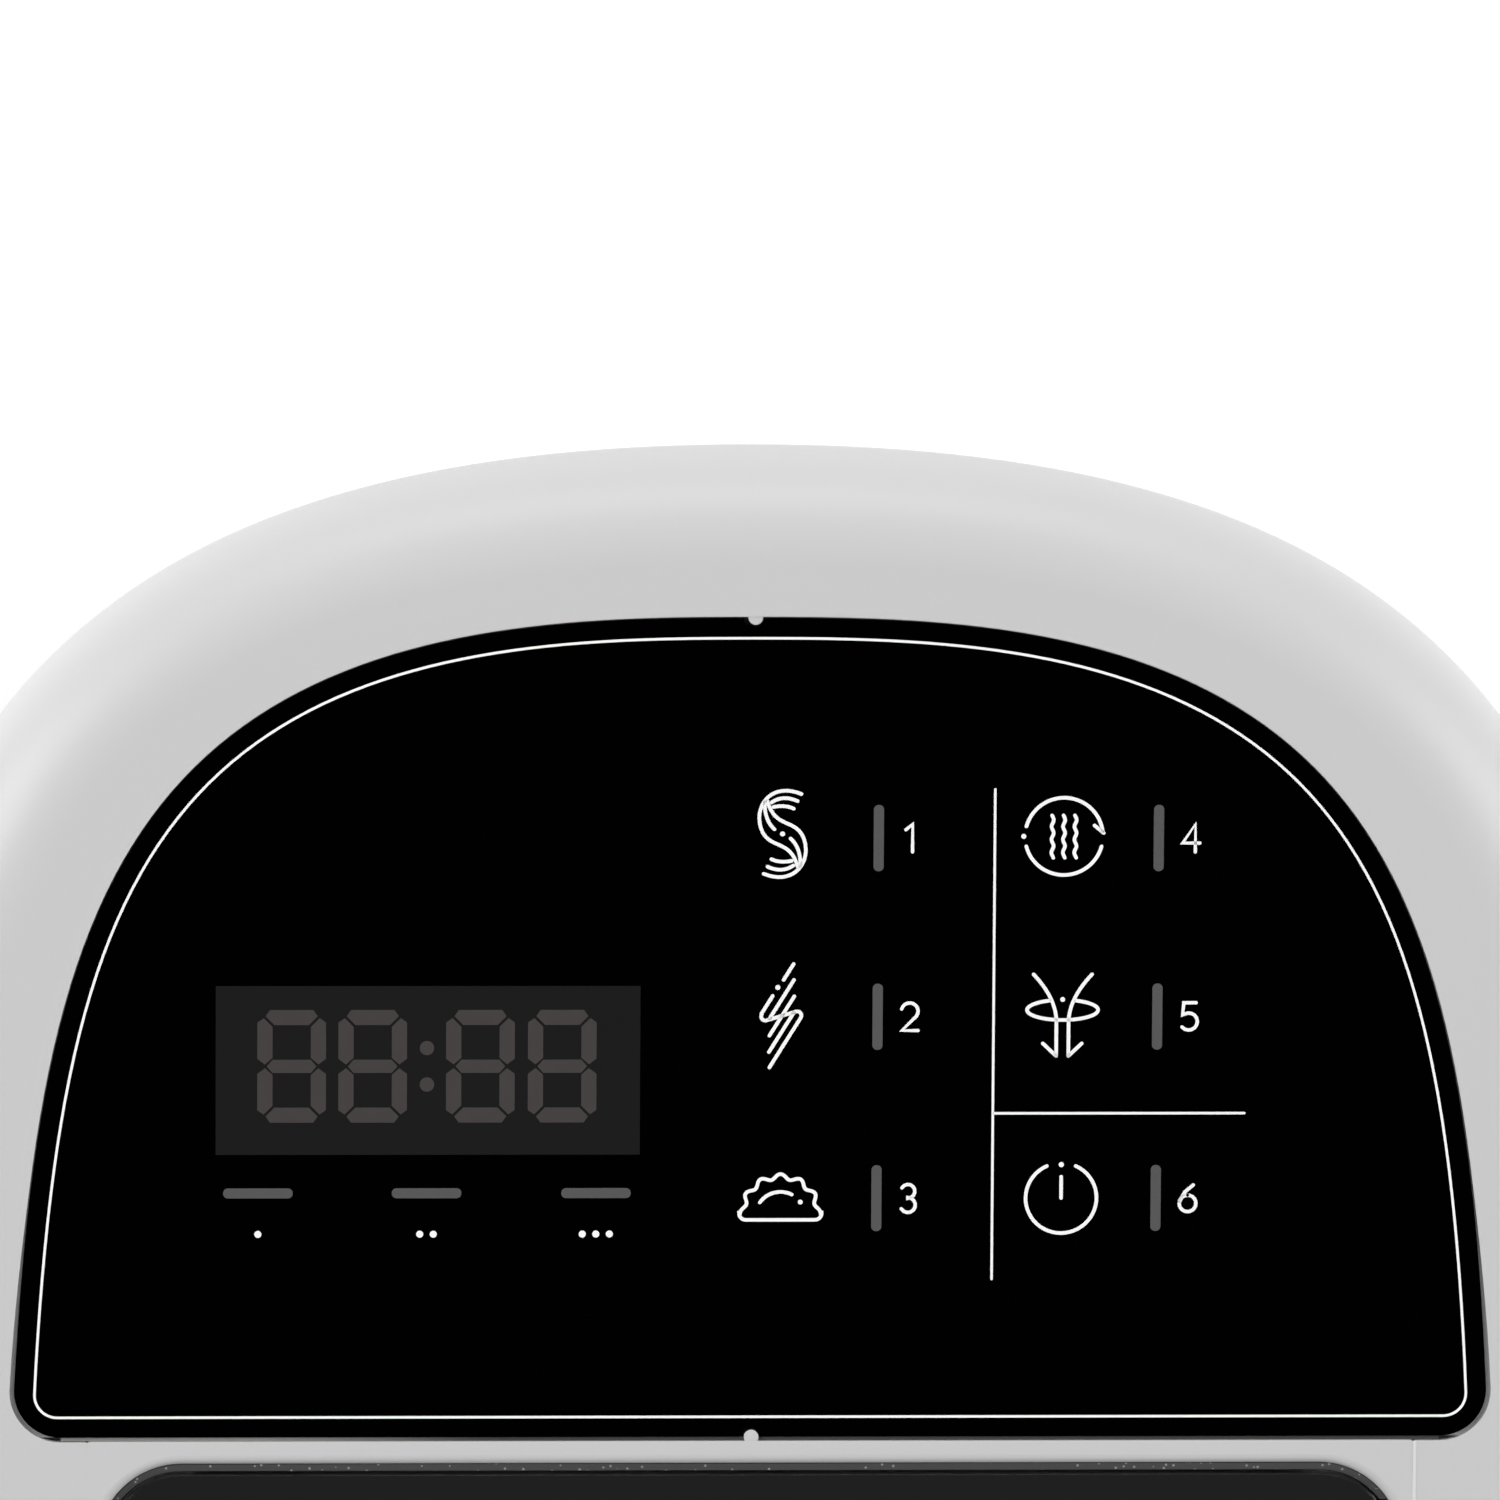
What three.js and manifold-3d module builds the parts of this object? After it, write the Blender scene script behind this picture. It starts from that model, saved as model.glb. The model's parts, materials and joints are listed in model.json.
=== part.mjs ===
// Automatic noodle maker for the home: kneads, rests and extrudes dough.
// Millimetres, +Z up, front (extruder side) towards -Y. The origin is on the table
// below the middle of the object's bounding box.
import * as THREE from "three";
import { mergeVertices } from "three/addons/utils/BufferGeometryUtils.js";
import Module from "manifold-3d";

const wasm = await Module();
wasm.setup();

// ---------------------------------------------------------------- driving dimensions
const GAP = 0.3; // clearance between pieces that touch
const REAR_Y = 172.5; // rearmost point of the body
const NOSE_Y = -172.5; // foremost point of the clamp nut

// body outline, seen from above
const BODY_HALF_WIDTH = 108;
const BODY_FRONT_Y = -121;
const FRONT_CORNER_R = 26;
const WALL = 2.5;
const TOP_ROUNDING = 14; // radius where the walls turn into the deck
const ARCH_LENGTH = 118.6; // panel's lower edge to the rear apex, along the deck
const ARCH_SIDE = 13; // where the round rear end meets the straight sides
const ARCH_TOP_HANDLE = 71.7; // curve handles of the round rear end
const ARCH_SIDE_HANDLE = 91.4;

// sloping deck: its own frame is x to the right, v up the slope, n out of the deck
const DECK_SLOPE = THREE.MathUtils.degToRad(8);
const DECK_REAR_Z = 300;
const DECK_THICKNESS = 4.5;
const DECK_Y = REAR_Y - ARCH_LENGTH * Math.cos(DECK_SLOPE);
const DECK_Z = DECK_REAR_Z - ARCH_LENGTH * Math.sin(DECK_SLOPE);

// housing heights
const FOOT_HEIGHT = 6;
const SEAM_Z = 84;
const SEAM_GAP = 0.4;
const COVER_SKIRT = 22; // top cover's lower edge, below the deck plane
const BASE_THICKNESS = 3;
const SCREW = { headR: 3.8, shankR: 1.8, holeR: 2.2, bossR: 5.4, topZ: 19 };
const SCREW_PLACES = [[-101.2, -78], [101.2, -78], [-101.2, 12], [101.2, 12]];
const FOOT_R = 11;
const FOOT_PLACES = [[-78, -92], [78, -92], [-70, 102], [70, 102]];
const SIDE_VENTS = { count: 7, firstY: 26, pitch: 7, width: 3, z: [26, 62] };
const BASE_VENTS = { count: 6, firstY: 84, pitch: 9, width: 4, halfLength: 30 };

// shaping disc drawer in the lower front
const DRAWER = {
  halfWidth: 74, z: [12, 54], cornerR: 3.6, trayHalf: 69, trayRearY: 12, trayZ: [13.5, 44],
};
const DRAWER_WALL = 2;
const SCOOP = { r: 9, halfLength: 24, standOff: 4.4 };
const RAIL = { innerX: 60, stepX: 70, outerX: 72, y: [-112, 16], z: [9.8, 12.8, 26] };

// mains inlet in the lower rear
const INLET = { halfWidth: 24, y: [152, 170.6], z: [30, 54] };
const SOCKET = { halfWidth: 12.5, frontY: 155, z: [33, 51] };

// touch panel
const PANEL_HEIGHT = 97.5;
const PANEL_SPREAD = 88.47; // half-width that the outline tends to
const PANEL_FALL = 29.5; // how fast it gets there, going down from the top
const PANEL_POWER = 2.71;
const PANEL_CORNER_R = 5.5;
const PANEL_THICKNESS = 1.8;
const PANEL_TOP_N = -0.15;
const PANEL_GAP = 0.5;
const RECESS_DEPTH = 2.2;
const NIB_R = 0.9;
const NOTCH_R = 1.3;
const PANEL_LEDGE = 5;
const DISPLAY = { x: -38, v: 43.6, width: 50.3, height: 19.4 };
const PROGRESS_BARS = { xs: [-57.9, -38.1, -18.1], v: 29.1, width: 8.2, height: 1.2 };
const KEY_BARS = { columns: [15.1, 47.9], rows: [71.4, 50.1, 28.6], width: 1.2, height: 7.9 };

// lid and its surround
const SURROUND = { halfWidth: 78.1, rearV: -0.5, frontV: -165, depth: 9, cornerR: 0.4 };
const LID = { halfWidth: 76.1, rearV: -4.6, frontV: -152, cornerR: 8.7, thickness: 3, topN: -0.2 };
const LID_REAR_GAP = 0.9;
const LID_SIDE_GAP = 0.65;
const LID_FLOOR_N = -7.2; // ledge under the lid's edge
const LID_THROAT = { halfWidth: 71, frontV: -147.6 };
const LID_HINGE = { v: -12.6, n: -3.6, pinR: 1.5, knuckleR: 2.8 };
const KNUCKLE_X = [54, 66];
const PIN_X = [56, 78];
const FILL_SLOTS = { count: 6, pitch: 14, halfWidth: 1.6, frontV: -128, rearV: -104 };
const BUTTON = { halfWidth: 18, rearV: -155.4, frontV: -162.3 };

// dough tank, extruder and drive
const AXIS_Z = 178; // height of the paddle and auger axis
const TANK = { innerR: 66, wall: 3, rearY: 40, frontY: -87 };
const TANK_RIM = { x: 74, v: [-150, -16.1], cornerR: 11, n: [-6.9, -4.9] };
const BARREL = { innerR: 26.2, outerR: 30, frontY: -160, flangeR: 44 };
const NUT = { outerR: 42, rearY: -136, lipR: 24 };
const DISC = { r: 29.4, thickness: 7.6 };
const FRONT_PLATE = { width: 172, height: 104, cornerR: 42, rearY: -121.4, thickness: 12 };
const KNOB_X = 66;
const GEAR_MODULE = 1.5;
const WHEEL_TEETH = 36;
const PINION_TEETH = 12;
const IDLER_X = -16; // sideways place of the intermediate gear
const MOTOR = { r: 37, frontY: 75.4, rearY: 138, shaftR: 3, shaftY: [58, 156] };
const GEARBOX = { x: [-52, 38], y: [44, 71.5], z: [92, 214], wall: 2.5, coverRearY: 75 };
const BULKHEAD = { halfWidth: 96, y: [41, 43.7], z: [58, 262] };
const POWER_BOARD = { x: [-96, -46], y: [52, 112], z: [62, 63.6] };
const PADDLE = {
  coreR: 8.5, y: [-84, 26], hubR: 11, armPlaces: [[-68, 0], [-36, 180], [-6, 0], [16, 180]],
};
const AUGER = {
  coreR: 10, flightR: 25.6, bladeHalf: THREE.MathUtils.degToRad(17), y: [-157, -84.6], turns: 2.75,
};

// ---------------------------------------------------------------- materials
const shellPlastic = { color: 0xd6d6d6, roughness: 0.45, metalness: 0 };
const lowerPlastic = { color: 0xc9c9c9, roughness: 0.5, metalness: 0 };
const blackGlass = { color: 0x040404, roughness: 0.08, metalness: 0 };
const smokePlastic = { color: 0x1c1c1d, roughness: 0.2, metalness: 0 };
const darkPlastic = { color: 0x2a2b2d, roughness: 0.5, metalness: 0 };
const greyPlastic = { color: 0x8b8d90, roughness: 0.5, metalness: 0 };
const naturalPlastic = { color: 0xe9e6dc, roughness: 0.45, metalness: 0 };
const rubber = { color: 0x202022, roughness: 0.85, metalness: 0 };
const silicone = { color: 0xb9bcbd, roughness: 0.7, metalness: 0 };
const steel = { color: 0xb4b6b8, roughness: 0.3, metalness: 1 };
const alloy = { color: 0xa7a9ac, roughness: 0.4, metalness: 1 };
const boardGreen = { color: 0x1d5a37, roughness: 0.6, metalness: 0 };
const diffuser = { color: 0x77777a, roughness: 0.6, metalness: 0 };
const heaterFilm = { color: 0xc07a2a, roughness: 0.5, metalness: 0 };

// ---------------------------------------------------------------- geometry helpers
const toSolid = (geometry) => {
  const bare = geometry.clone();
  bare.deleteAttribute("normal");
  bare.deleteAttribute("uv");
  const merged = mergeVertices(bare, 1e-4);
  return new wasm.Manifold(new wasm.Mesh({
    numProp: 3,
    vertProperties: Float32Array.from(merged.attributes.position.array),
    triVerts: Uint32Array.from(merged.index.array),
  }));
};

const toGeometry = (solid) => {
  const mesh = solid.getMesh();
  const geometry = new THREE.BufferGeometry();
  geometry.setAttribute("position", new THREE.BufferAttribute(mesh.vertProperties, 3));
  geometry.setIndex(new THREE.BufferAttribute(mesh.triVerts, 1));
  geometry.computeVertexNormals();
  return geometry;
};

const join = (...geometries) => geometries.map(toSolid).reduce((sum, next) => sum.add(next));
const cut = (solid, ...geometries) => geometries.map(toSolid)
  .reduce((rest, tool) => rest.subtract(tool), solid);
const common = (first, second) => toSolid(first).intersect(toSolid(second));

// a box given by its low and high corners
const block = (x0, x1, y0, y1, z0, z1) => new THREE.BoxGeometry(x1 - x0, y1 - y0, z1 - z0)
  .translate((x0 + x1) / 2, (y0 + y1) / 2, (z0 + z1) / 2);

// a round bar along Y, along Z or along X
const rodY = (r, y0, y1, x = 0, z = 0, sides = 24) => new THREE.CylinderGeometry(r, r, y1 - y0, sides)
  .translate(x, (y0 + y1) / 2, z);
const rodZ = (r, z0, z1, x = 0, y = 0, sides = 24) => new THREE.CylinderGeometry(r, r, z1 - z0, sides)
  .rotateX(Math.PI / 2).translate(x, y, (z0 + z1) / 2);
const rodX = (r, x0, x1, y = 0, z = 0, sides = 12) => new THREE.CylinderGeometry(r, r, x1 - x0, sides)
  .rotateZ(Math.PI / 2).translate((x0 + x1) / 2, y, z);

// a ring about an axis along Y, from y0 to y1
const ringY = (inner, outer, y0, y1, x = 0, z = 0, sides = 32) => {
  const profile = [[inner, y0], [outer, y0], [outer, y1], [inner, y1], [inner, y0]];
  const points = profile.map(([r, y]) => new THREE.Vector2(r, y));
  return new THREE.LatheGeometry(points, sides).translate(x, 0, z);
};

const extrude = (shape, depth, extra = {}) => new THREE.ExtrudeGeometry(shape, {
  depth, steps: 1, bevelEnabled: false, curveSegments: 6, ...extra,
});

// a shape in the X-Z plane, extruded from y0 to y1
const alongY = (shape, y0, y1, extra) => extrude(shape, y1 - y0, extra)
  .rotateX(Math.PI / 2).translate(0, y1, 0);

const roundedRect = (x0, x1, y0, y1, r) => {
  const shape = new THREE.Shape();
  shape.moveTo(x0 + r, y0);
  shape.lineTo(x1 - r, y0);
  shape.absarc(x1 - r, y0 + r, r, -Math.PI / 2, 0, false);
  shape.lineTo(x1, y1 - r);
  shape.absarc(x1 - r, y1 - r, r, 0, Math.PI / 2, false);
  shape.lineTo(x0 + r, y1);
  shape.absarc(x0 + r, y1 - r, r, Math.PI / 2, Math.PI, false);
  shape.lineTo(x0, y0 + r);
  shape.absarc(x0 + r, y0 + r, r, Math.PI, Math.PI * 1.5, false);
  return shape;
};

const slab = (shape, z0, z1, extra) => extrude(shape, z1 - z0, extra).translate(0, 0, z0);

// a round outline whose radius swells and shrinks, for grips
const lobedShape = (radius, swell, lobes, points) => {
  const shape = new THREE.Shape();
  for (let i = 0; i < points; i += 1) {
    const angle = (i / points) * 2 * Math.PI;
    const r = radius + swell * Math.cos(lobes * angle);
    shape[i === 0 ? "moveTo" : "lineTo"](r * Math.cos(angle), r * Math.sin(angle));
  }
  shape.closePath();
  return shape;
};

const circleHole = (shape, r, x = 0, y = 0) => {
  shape.holes.push(new THREE.Path().absarc(x, y, r, 0, 2 * Math.PI, true));
  return shape;
};

// moves every point of a closed counter-clockwise outline inwards
const insetOutline = (points, distance) => points.map((point, i) => {
  const before = points[(i + points.length - 1) % points.length];
  const after = points[(i + 1) % points.length];
  const edgeIn = point.clone().sub(before).normalize();
  const edgeOut = after.clone().sub(point).normalize();
  const middle = edgeIn.clone().add(edgeOut).normalize();
  const normal = new THREE.Vector2(-middle.y, middle.x);
  const widen = 1 / Math.max(0.5, edgeIn.dot(middle));
  return point.clone().addScaledVector(normal, distance * widen);
});

// deck frame to object frame
const deckMatrix = new THREE.Matrix4().makeRotationX(DECK_SLOPE).setPosition(0, DECK_Y, DECK_Z);
const onDeck = (geometry) => geometry.applyMatrix4(deckMatrix);

// ---------------------------------------------------------------- outlines
// body outline from above, counter-clockwise: front corners, sides, round rear end
const bodyOutline = () => {
  const plan = (v) => DECK_Y + v * Math.cos(DECK_SLOPE);
  const arc = (cx, from) => new THREE.EllipseCurve(cx, BODY_FRONT_Y + FRONT_CORNER_R,
    FRONT_CORNER_R, FRONT_CORNER_R, from, from + Math.PI / 2).getPoints(6);
  const cornerX = BODY_HALF_WIDTH - FRONT_CORNER_R;
  const side = new THREE.Vector2(BODY_HALF_WIDTH, plan(ARCH_SIDE));
  const sideHandle = new THREE.Vector2(BODY_HALF_WIDTH, plan(ARCH_SIDE_HANDLE));
  const topHandle = new THREE.Vector2(ARCH_TOP_HANDLE, REAR_Y);
  const apex = new THREE.Vector2(0, REAR_Y);
  const right = new THREE.CubicBezierCurve(side, sideHandle, topHandle, apex).getPoints(12);
  const left = right.slice(0, -1).reverse().map((p) => new THREE.Vector2(-p.x, p.y));
  return [...arc(-cornerX, Math.PI), ...arc(cornerX, -Math.PI / 2), ...right, ...left];
};

// half-width of the touch panel at height v above its lower edge
const panelHalfWidth = (v) => {
  const down = Math.max(0, PANEL_HEIGHT - v);
  return PANEL_SPREAD * (1 - Math.exp(-down / PANEL_FALL)) ** (1 / PANEL_POWER);
};

// touch panel outline in the deck frame: flat lower edge, round corners, arched top;
// grow moves it outwards, or inwards when it is negative
const panelOutline = (grow = 0) => {
  const cornerR = Math.max(PANEL_CORNER_R + grow, 0.8);
  const sideX = panelHalfWidth(PANEL_CORNER_R) + grow;
  const corner = new THREE.EllipseCurve(sideX - cornerR, cornerR - grow, cornerR, cornerR, -Math.PI / 2, 0);
  const points = corner.getPoints(5);
  const steps = 18;
  const [lowV, step] = [cornerR - grow, 0.05];
  for (let i = 1; i < steps; i += 1) {
    const v = lowV + (PANEL_HEIGHT - lowV) * (1 - (1 - i / steps) ** 2.6);
    const slope = (panelHalfWidth(v - step) - panelHalfWidth(v + step)) / (2 * step);
    const normal = new THREE.Vector2(1, slope).normalize();
    points.push(new THREE.Vector2(panelHalfWidth(v), v).addScaledVector(normal, grow));
  }
  const mirrored = points.slice().reverse().map((p) => new THREE.Vector2(-p.x, p.y));
  return [...points, new THREE.Vector2(0, PANEL_HEIGHT + grow), ...mirrored];
};

// the tub's cross-section: half-round bottom, straight sides up to topZ
const tubShape = (r, topZ) => {
  const shape = new THREE.Shape();
  shape.moveTo(-r, topZ);
  shape.lineTo(-r, AXIS_Z);
  shape.absarc(0, AXIS_Z, r, Math.PI, 2 * Math.PI, false);
  shape.lineTo(r, topZ);
  shape.closePath();
  return shape;
};

// straight-flanked spur teeth about the origin, with a tooth at angle zero
const gearShape = (teeth, boreR) => {
  const pitchR = (GEAR_MODULE * teeth) / 2;
  const tipR = pitchR + GEAR_MODULE * 0.9;
  const rootR = pitchR - GEAR_MODULE * 1.25;
  const pitchAngle = (2 * Math.PI) / teeth;
  const tipHalf = pitchAngle * 0.1;
  const rootHalf = pitchAngle * 0.28;
  const shape = new THREE.Shape();
  for (let i = 0; i < teeth; i += 1) {
    const corners = [[rootR, -rootHalf], [tipR, -tipHalf], [tipR, tipHalf], [rootR, rootHalf]];
    corners.forEach(([r, offset], k) => {
      const angle = i * pitchAngle + offset;
      shape[i + k === 0 ? "moveTo" : "lineTo"](r * Math.cos(angle), r * Math.sin(angle));
    });
  }
  shape.closePath();
  return circleHole(shape, boreR);
};

// ---------------------------------------------------------------- assembly bookkeeping
const noodleMaker = new THREE.Group();
const deck = new THREE.Group();
deck.applyMatrix4(deckMatrix);
noodleMaker.add(deck);

const addPart = (name, shape, finish, parent = noodleMaker) => {
  const geometry = shape.isBufferGeometry ? shape : toGeometry(shape);
  const mesh = new THREE.Mesh(geometry, new THREE.MeshStandardMaterial(finish));
  mesh.name = name;
  parent.add(mesh);
  return mesh;
};

// ---------------------------------------------------------------- housing
// closed body-shaped solid, its top face in or below the deck plane
const bodySolid = (inset, rounding, drop, roundSteps) => {
  const outline = new THREE.Shape(insetOutline(bodyOutline(), inset + rounding));
  const below = 80; // reaches under the table, to be trimmed off
  const height = DECK_Z - drop - rounding + below;
  const geometry = extrude(outline, height, {
    bevelEnabled: true, bevelSize: rounding, bevelThickness: rounding, bevelSegments: roundSteps,
  });
  const shear = new THREE.Matrix4();
  shear.elements[6] = Math.tan(DECK_SLOPE);
  return toSolid(geometry.translate(0, -DECK_Y, -below).applyMatrix4(shear).translate(0, DECK_Y, 0));
};

const outerBody = bodySolid(0, TOP_ROUNDING, 0, 5);
const innerBody = bodySolid(WALL, TOP_ROUNDING - WALL, DECK_THICKNESS, 2);
const everything = 400;
const band = (z0, z1) => block(-everything, everything, -everything, everything, z0, z1);
const housingWalls = outerBody.subtract(innerBody);
// all that lies above a plane parallel to the deck, a drop below it along Z
const aboveDeckLess = (drop) => toSolid(onDeck(band(-drop * Math.cos(DECK_SLOPE), everything)));

const ventSlots = () => {
  const { count, firstY, pitch, width, z } = SIDE_VENTS;
  const slots = [];
  for (let i = 0; i < count; i += 1) {
    const y = firstY + i * pitch;
    slots.push(block(-everything, everything, y, y + width, ...z));
  }
  return slots;
};

const lowerHousing = () => {
  const walls = housingWalls.intersect(toSolid(band(FOOT_HEIGHT, SEAM_Z)));
  const play = 0.4;
  const drawerMouth = alongY(roundedRect(-DRAWER.halfWidth - play, DRAWER.halfWidth + play,
    DRAWER.z[0] - play, DRAWER.z[1] + play, 4), BODY_FRONT_Y - 1, BODY_FRONT_Y + 6);
  const inletMouth = block(-INLET.halfWidth - play, INLET.halfWidth + play, INLET.y[0] - 2, REAR_Y + 1,
    INLET.z[0] - play, INLET.z[1] + play);
  let body = cut(walls, drawerMouth, inletMouth, ...ventSlots());
  const bossFoot = FOOT_HEIGHT + GAP + BASE_THICKNESS + GAP;
  for (const [x, y] of SCREW_PLACES) {
    const boss = toSolid(rodZ(SCREW.bossR, bossFoot, SCREW.topZ + 5, x, y, 16));
    body = body.add(boss).subtract(toSolid(rodZ(SCREW.holeR, bossFoot - 1, SCREW.topZ + 1.5, x, y, 12)));
  }
  return body;
};

// walls between the lower housing and the top cover
const upperHousing = () => {
  const walls = housingWalls.intersect(toSolid(band(SEAM_Z + SEAM_GAP, everything)))
    .subtract(aboveDeckLess(COVER_SKIRT + SEAM_GAP));
  const throughFront = [BODY_FRONT_Y - 5, BODY_FRONT_Y + 11];
  const barrelHole = rodY(BARREL.outerR + 1, ...throughFront, 0, AXIS_Z, 28);
  const studHoles = [-KNOB_X, KNOB_X].map((x) => rodY(4.4, ...throughFront, x, AXIS_Z, 16));
  return cut(walls, barrelHole, ...studHoles);
};

const panelRecess = () => onDeck(slab(new THREE.Shape(panelOutline(PANEL_GAP)), -RECESS_DEPTH, 30));
const panelWindow = () => onDeck(slab(new THREE.Shape(panelOutline(-PANEL_LEDGE)), -30, 0));
const surroundMouth = () => onDeck(slab(roundedRect(-SURROUND.halfWidth - GAP, SURROUND.halfWidth + GAP,
  SURROUND.frontV - GAP, SURROUND.rearV + GAP, SURROUND.cornerR + GAP), -20, 30));

// the sloping deck with its rounded edge and a short skirt
const topCover = () => {
  const nib = onDeck(rodZ(NIB_R, -RECESS_DEPTH - 0.4, -0.1, 0, PANEL_HEIGHT + PANEL_GAP - 0.1, 16));
  const deckShell = housingWalls.intersect(aboveDeckLess(COVER_SKIRT));
  return cut(deckShell, panelRecess(), panelWindow(), surroundMouth()).add(toSolid(nib));
};

// ---------------------------------------------------------------- base
const basePlate = () => {
  const shape = new THREE.Shape(insetOutline(bodyOutline(), WALL + 0.4));
  SCREW_PLACES.forEach(([x, y]) => circleHole(shape, SCREW.holeR, x, y));
  const plate = toSolid(slab(shape, FOOT_HEIGHT + GAP, FOOT_HEIGHT + GAP + BASE_THICKNESS));
  const { count, firstY, pitch, width, halfLength } = BASE_VENTS;
  const slots = [];
  for (let i = 0; i < count; i += 1) {
    const y = firstY + i * pitch;
    slots.push(block(-halfLength, halfLength, y, y + width, 0, 20));
  }
  return cut(plate, ...slots);
};

const addBase = () => {
  addPart("base_plate", basePlate(), darkPlastic);
  const footNames = ["foot_front_left", "foot_front_right", "foot_rear_left", "foot_rear_right"];
  FOOT_PLACES.forEach(([x, y], i) => {
    const profile = [[0, 0], [FOOT_R - 1.4, 0], [FOOT_R, 1.4], [FOOT_R, FOOT_HEIGHT], [0, FOOT_HEIGHT]];
    const foot = new THREE.LatheGeometry(profile.map(([r, z]) => new THREE.Vector2(r, z)), 18);
    addPart(footNames[i], foot.rotateX(Math.PI / 2).translate(x, y, 0), rubber);
  });
  const screwNames = ["base_screw_front_left", "base_screw_front_right",
    "base_screw_rear_left", "base_screw_rear_right"];
  SCREW_PLACES.forEach(([x, y], i) => {
    const head = rodZ(SCREW.headR, 3.4, FOOT_HEIGHT, x, y, 16);
    const shank = rodZ(SCREW.shankR, FOOT_HEIGHT - 0.5, SCREW.topZ, x, y, 12);
    const driverSlot = block(x - 2.6, x + 2.6, y - 0.5, y + 0.5, 3, 4.6);
    addPart(screwNames[i], cut(join(head, shank), driverSlot), steel);
  });
};

// ---------------------------------------------------------------- disc drawer
const drawerTray = () => {
  const { halfWidth, z, cornerR, trayHalf, trayRearY, trayZ } = DRAWER;
  const frontY = BODY_FRONT_Y + WALL;
  const front = alongY(roundedRect(-halfWidth, halfWidth, ...z, cornerR), BODY_FRONT_Y, frontY);
  const tray = block(-trayHalf, trayHalf, frontY - 0.5, trayRearY, ...trayZ);
  const hollow = block(-trayHalf + DRAWER_WALL, trayHalf - DRAWER_WALL, BODY_FRONT_Y + 5,
    trayRearY - DRAWER_WALL, trayZ[0] + DRAWER_WALL, z[1] + 6);
  const scoop = rodX(SCOOP.r, -SCOOP.halfLength, SCOOP.halfLength, BODY_FRONT_Y - SCOOP.standOff, z[1], 24);
  return cut(join(front, tray), hollow, scoop);
};

const shapingDisc = (holes, holeR, ringR, slotted) => {
  const shape = lobedShape(DISC.r, 0, 1, 28);
  for (let i = 0; i < holes; i += 1) {
    const angle = (i / holes) * 2 * Math.PI;
    const [x, y] = [ringR * Math.cos(angle), ringR * Math.sin(angle)];
    if (slotted) {
      shape.holes.push(new THREE.Path().absellipse(x, y, holeR * 2.6, holeR, 0, 2 * Math.PI, true, angle));
    } else {
      circleHole(shape, holeR, x, y);
    }
  }
  return shape;
};

const addDrawer = () => {
  addPart("disc_drawer", drawerTray(), lowerPlastic);
  const restZ = DRAWER.trayZ[0] + DRAWER_WALL + 0.5;
  const spare = slab(shapingDisc(8, 1.6, 15, true), restZ, restZ + DISC.thickness, { curveSegments: 3 });
  addPart("spare_disc", spare.translate(-33, -78, 0), naturalPlastic);
  const [lowZ, shelfZ, topZ] = RAIL.z;
  const wall = (side) => [RAIL.stepX * side, RAIL.outerX * side].sort((a, b) => a - b);
  const shelf = (side) => [RAIL.innerX * side, RAIL.outerX * side].sort((a, b) => a - b);
  for (const [name, side] of [["drawer_rail_left", -1], ["drawer_rail_right", 1]]) {
    addPart(name, join(block(...wall(side), ...RAIL.y, lowZ, topZ),
      block(...shelf(side), ...RAIL.y, lowZ, shelfZ)), greyPlastic);
  }
};

// ---------------------------------------------------------------- control panel
const panelGlass = () => {
  const plate = toSolid(slab(new THREE.Shape(panelOutline()), PANEL_TOP_N - PANEL_THICKNESS, PANEL_TOP_N));
  const topNotch = rodZ(NOTCH_R, -5, 5, 0, PANEL_HEIGHT + PANEL_GAP - 0.1, 16);
  const bottomNotch = rodZ(NOTCH_R, -5, 5, 0, -PANEL_GAP + 0.1, 16);
  return cut(plate, topNotch, bottomNotch);
};

const lightGuide = (bars, width, height, spine) => join(block(...spine, -6.1, -5.1),
  ...bars.map(([x, v]) => block(x - width / 2, x + width / 2, v - height / 2, v + height / 2, -5.6, -2.9)));

const addControlPanel = () => {
  addPart("touch_panel", panelGlass(), blackGlass, deck);
  const foil = new THREE.Shape(panelOutline(-PANEL_LEDGE - 1));
  addPart("touch_foil", slab(foil, -2.7, PANEL_TOP_N - PANEL_THICKNESS - GAP), diffuser, deck);
  const board = new THREE.Shape(panelOutline(-14));
  addPart("control_board", slab(board, -8, -6.4), boardGreen, deck);
  const { x, v, width, height } = DISPLAY;
  addPart("display_module", block(x - width / 2, x + width / 2, v - height / 2, v + height / 2, -6.1, -3),
    darkPlastic, deck);
  const progress = PROGRESS_BARS.xs.map((barX) => [barX, PROGRESS_BARS.v]);
  addPart("progress_light_guide", lightGuide(progress, PROGRESS_BARS.width, PROGRESS_BARS.height,
    [-62, -14, PROGRESS_BARS.v - 1.5, PROGRESS_BARS.v + 1.5]), diffuser, deck);
  KEY_BARS.columns.forEach((barX, i) => {
    const bars = KEY_BARS.rows.map((row) => [barX, row]);
    const spine = [barX - 1.5, barX + 1.5, KEY_BARS.rows[2] - 5, KEY_BARS.rows[0] + 5];
    addPart(["left_key_light_guide", "right_key_light_guide"][i],
      lightGuide(bars, KEY_BARS.width, KEY_BARS.height, spine), diffuser, deck);
  });
};

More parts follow.
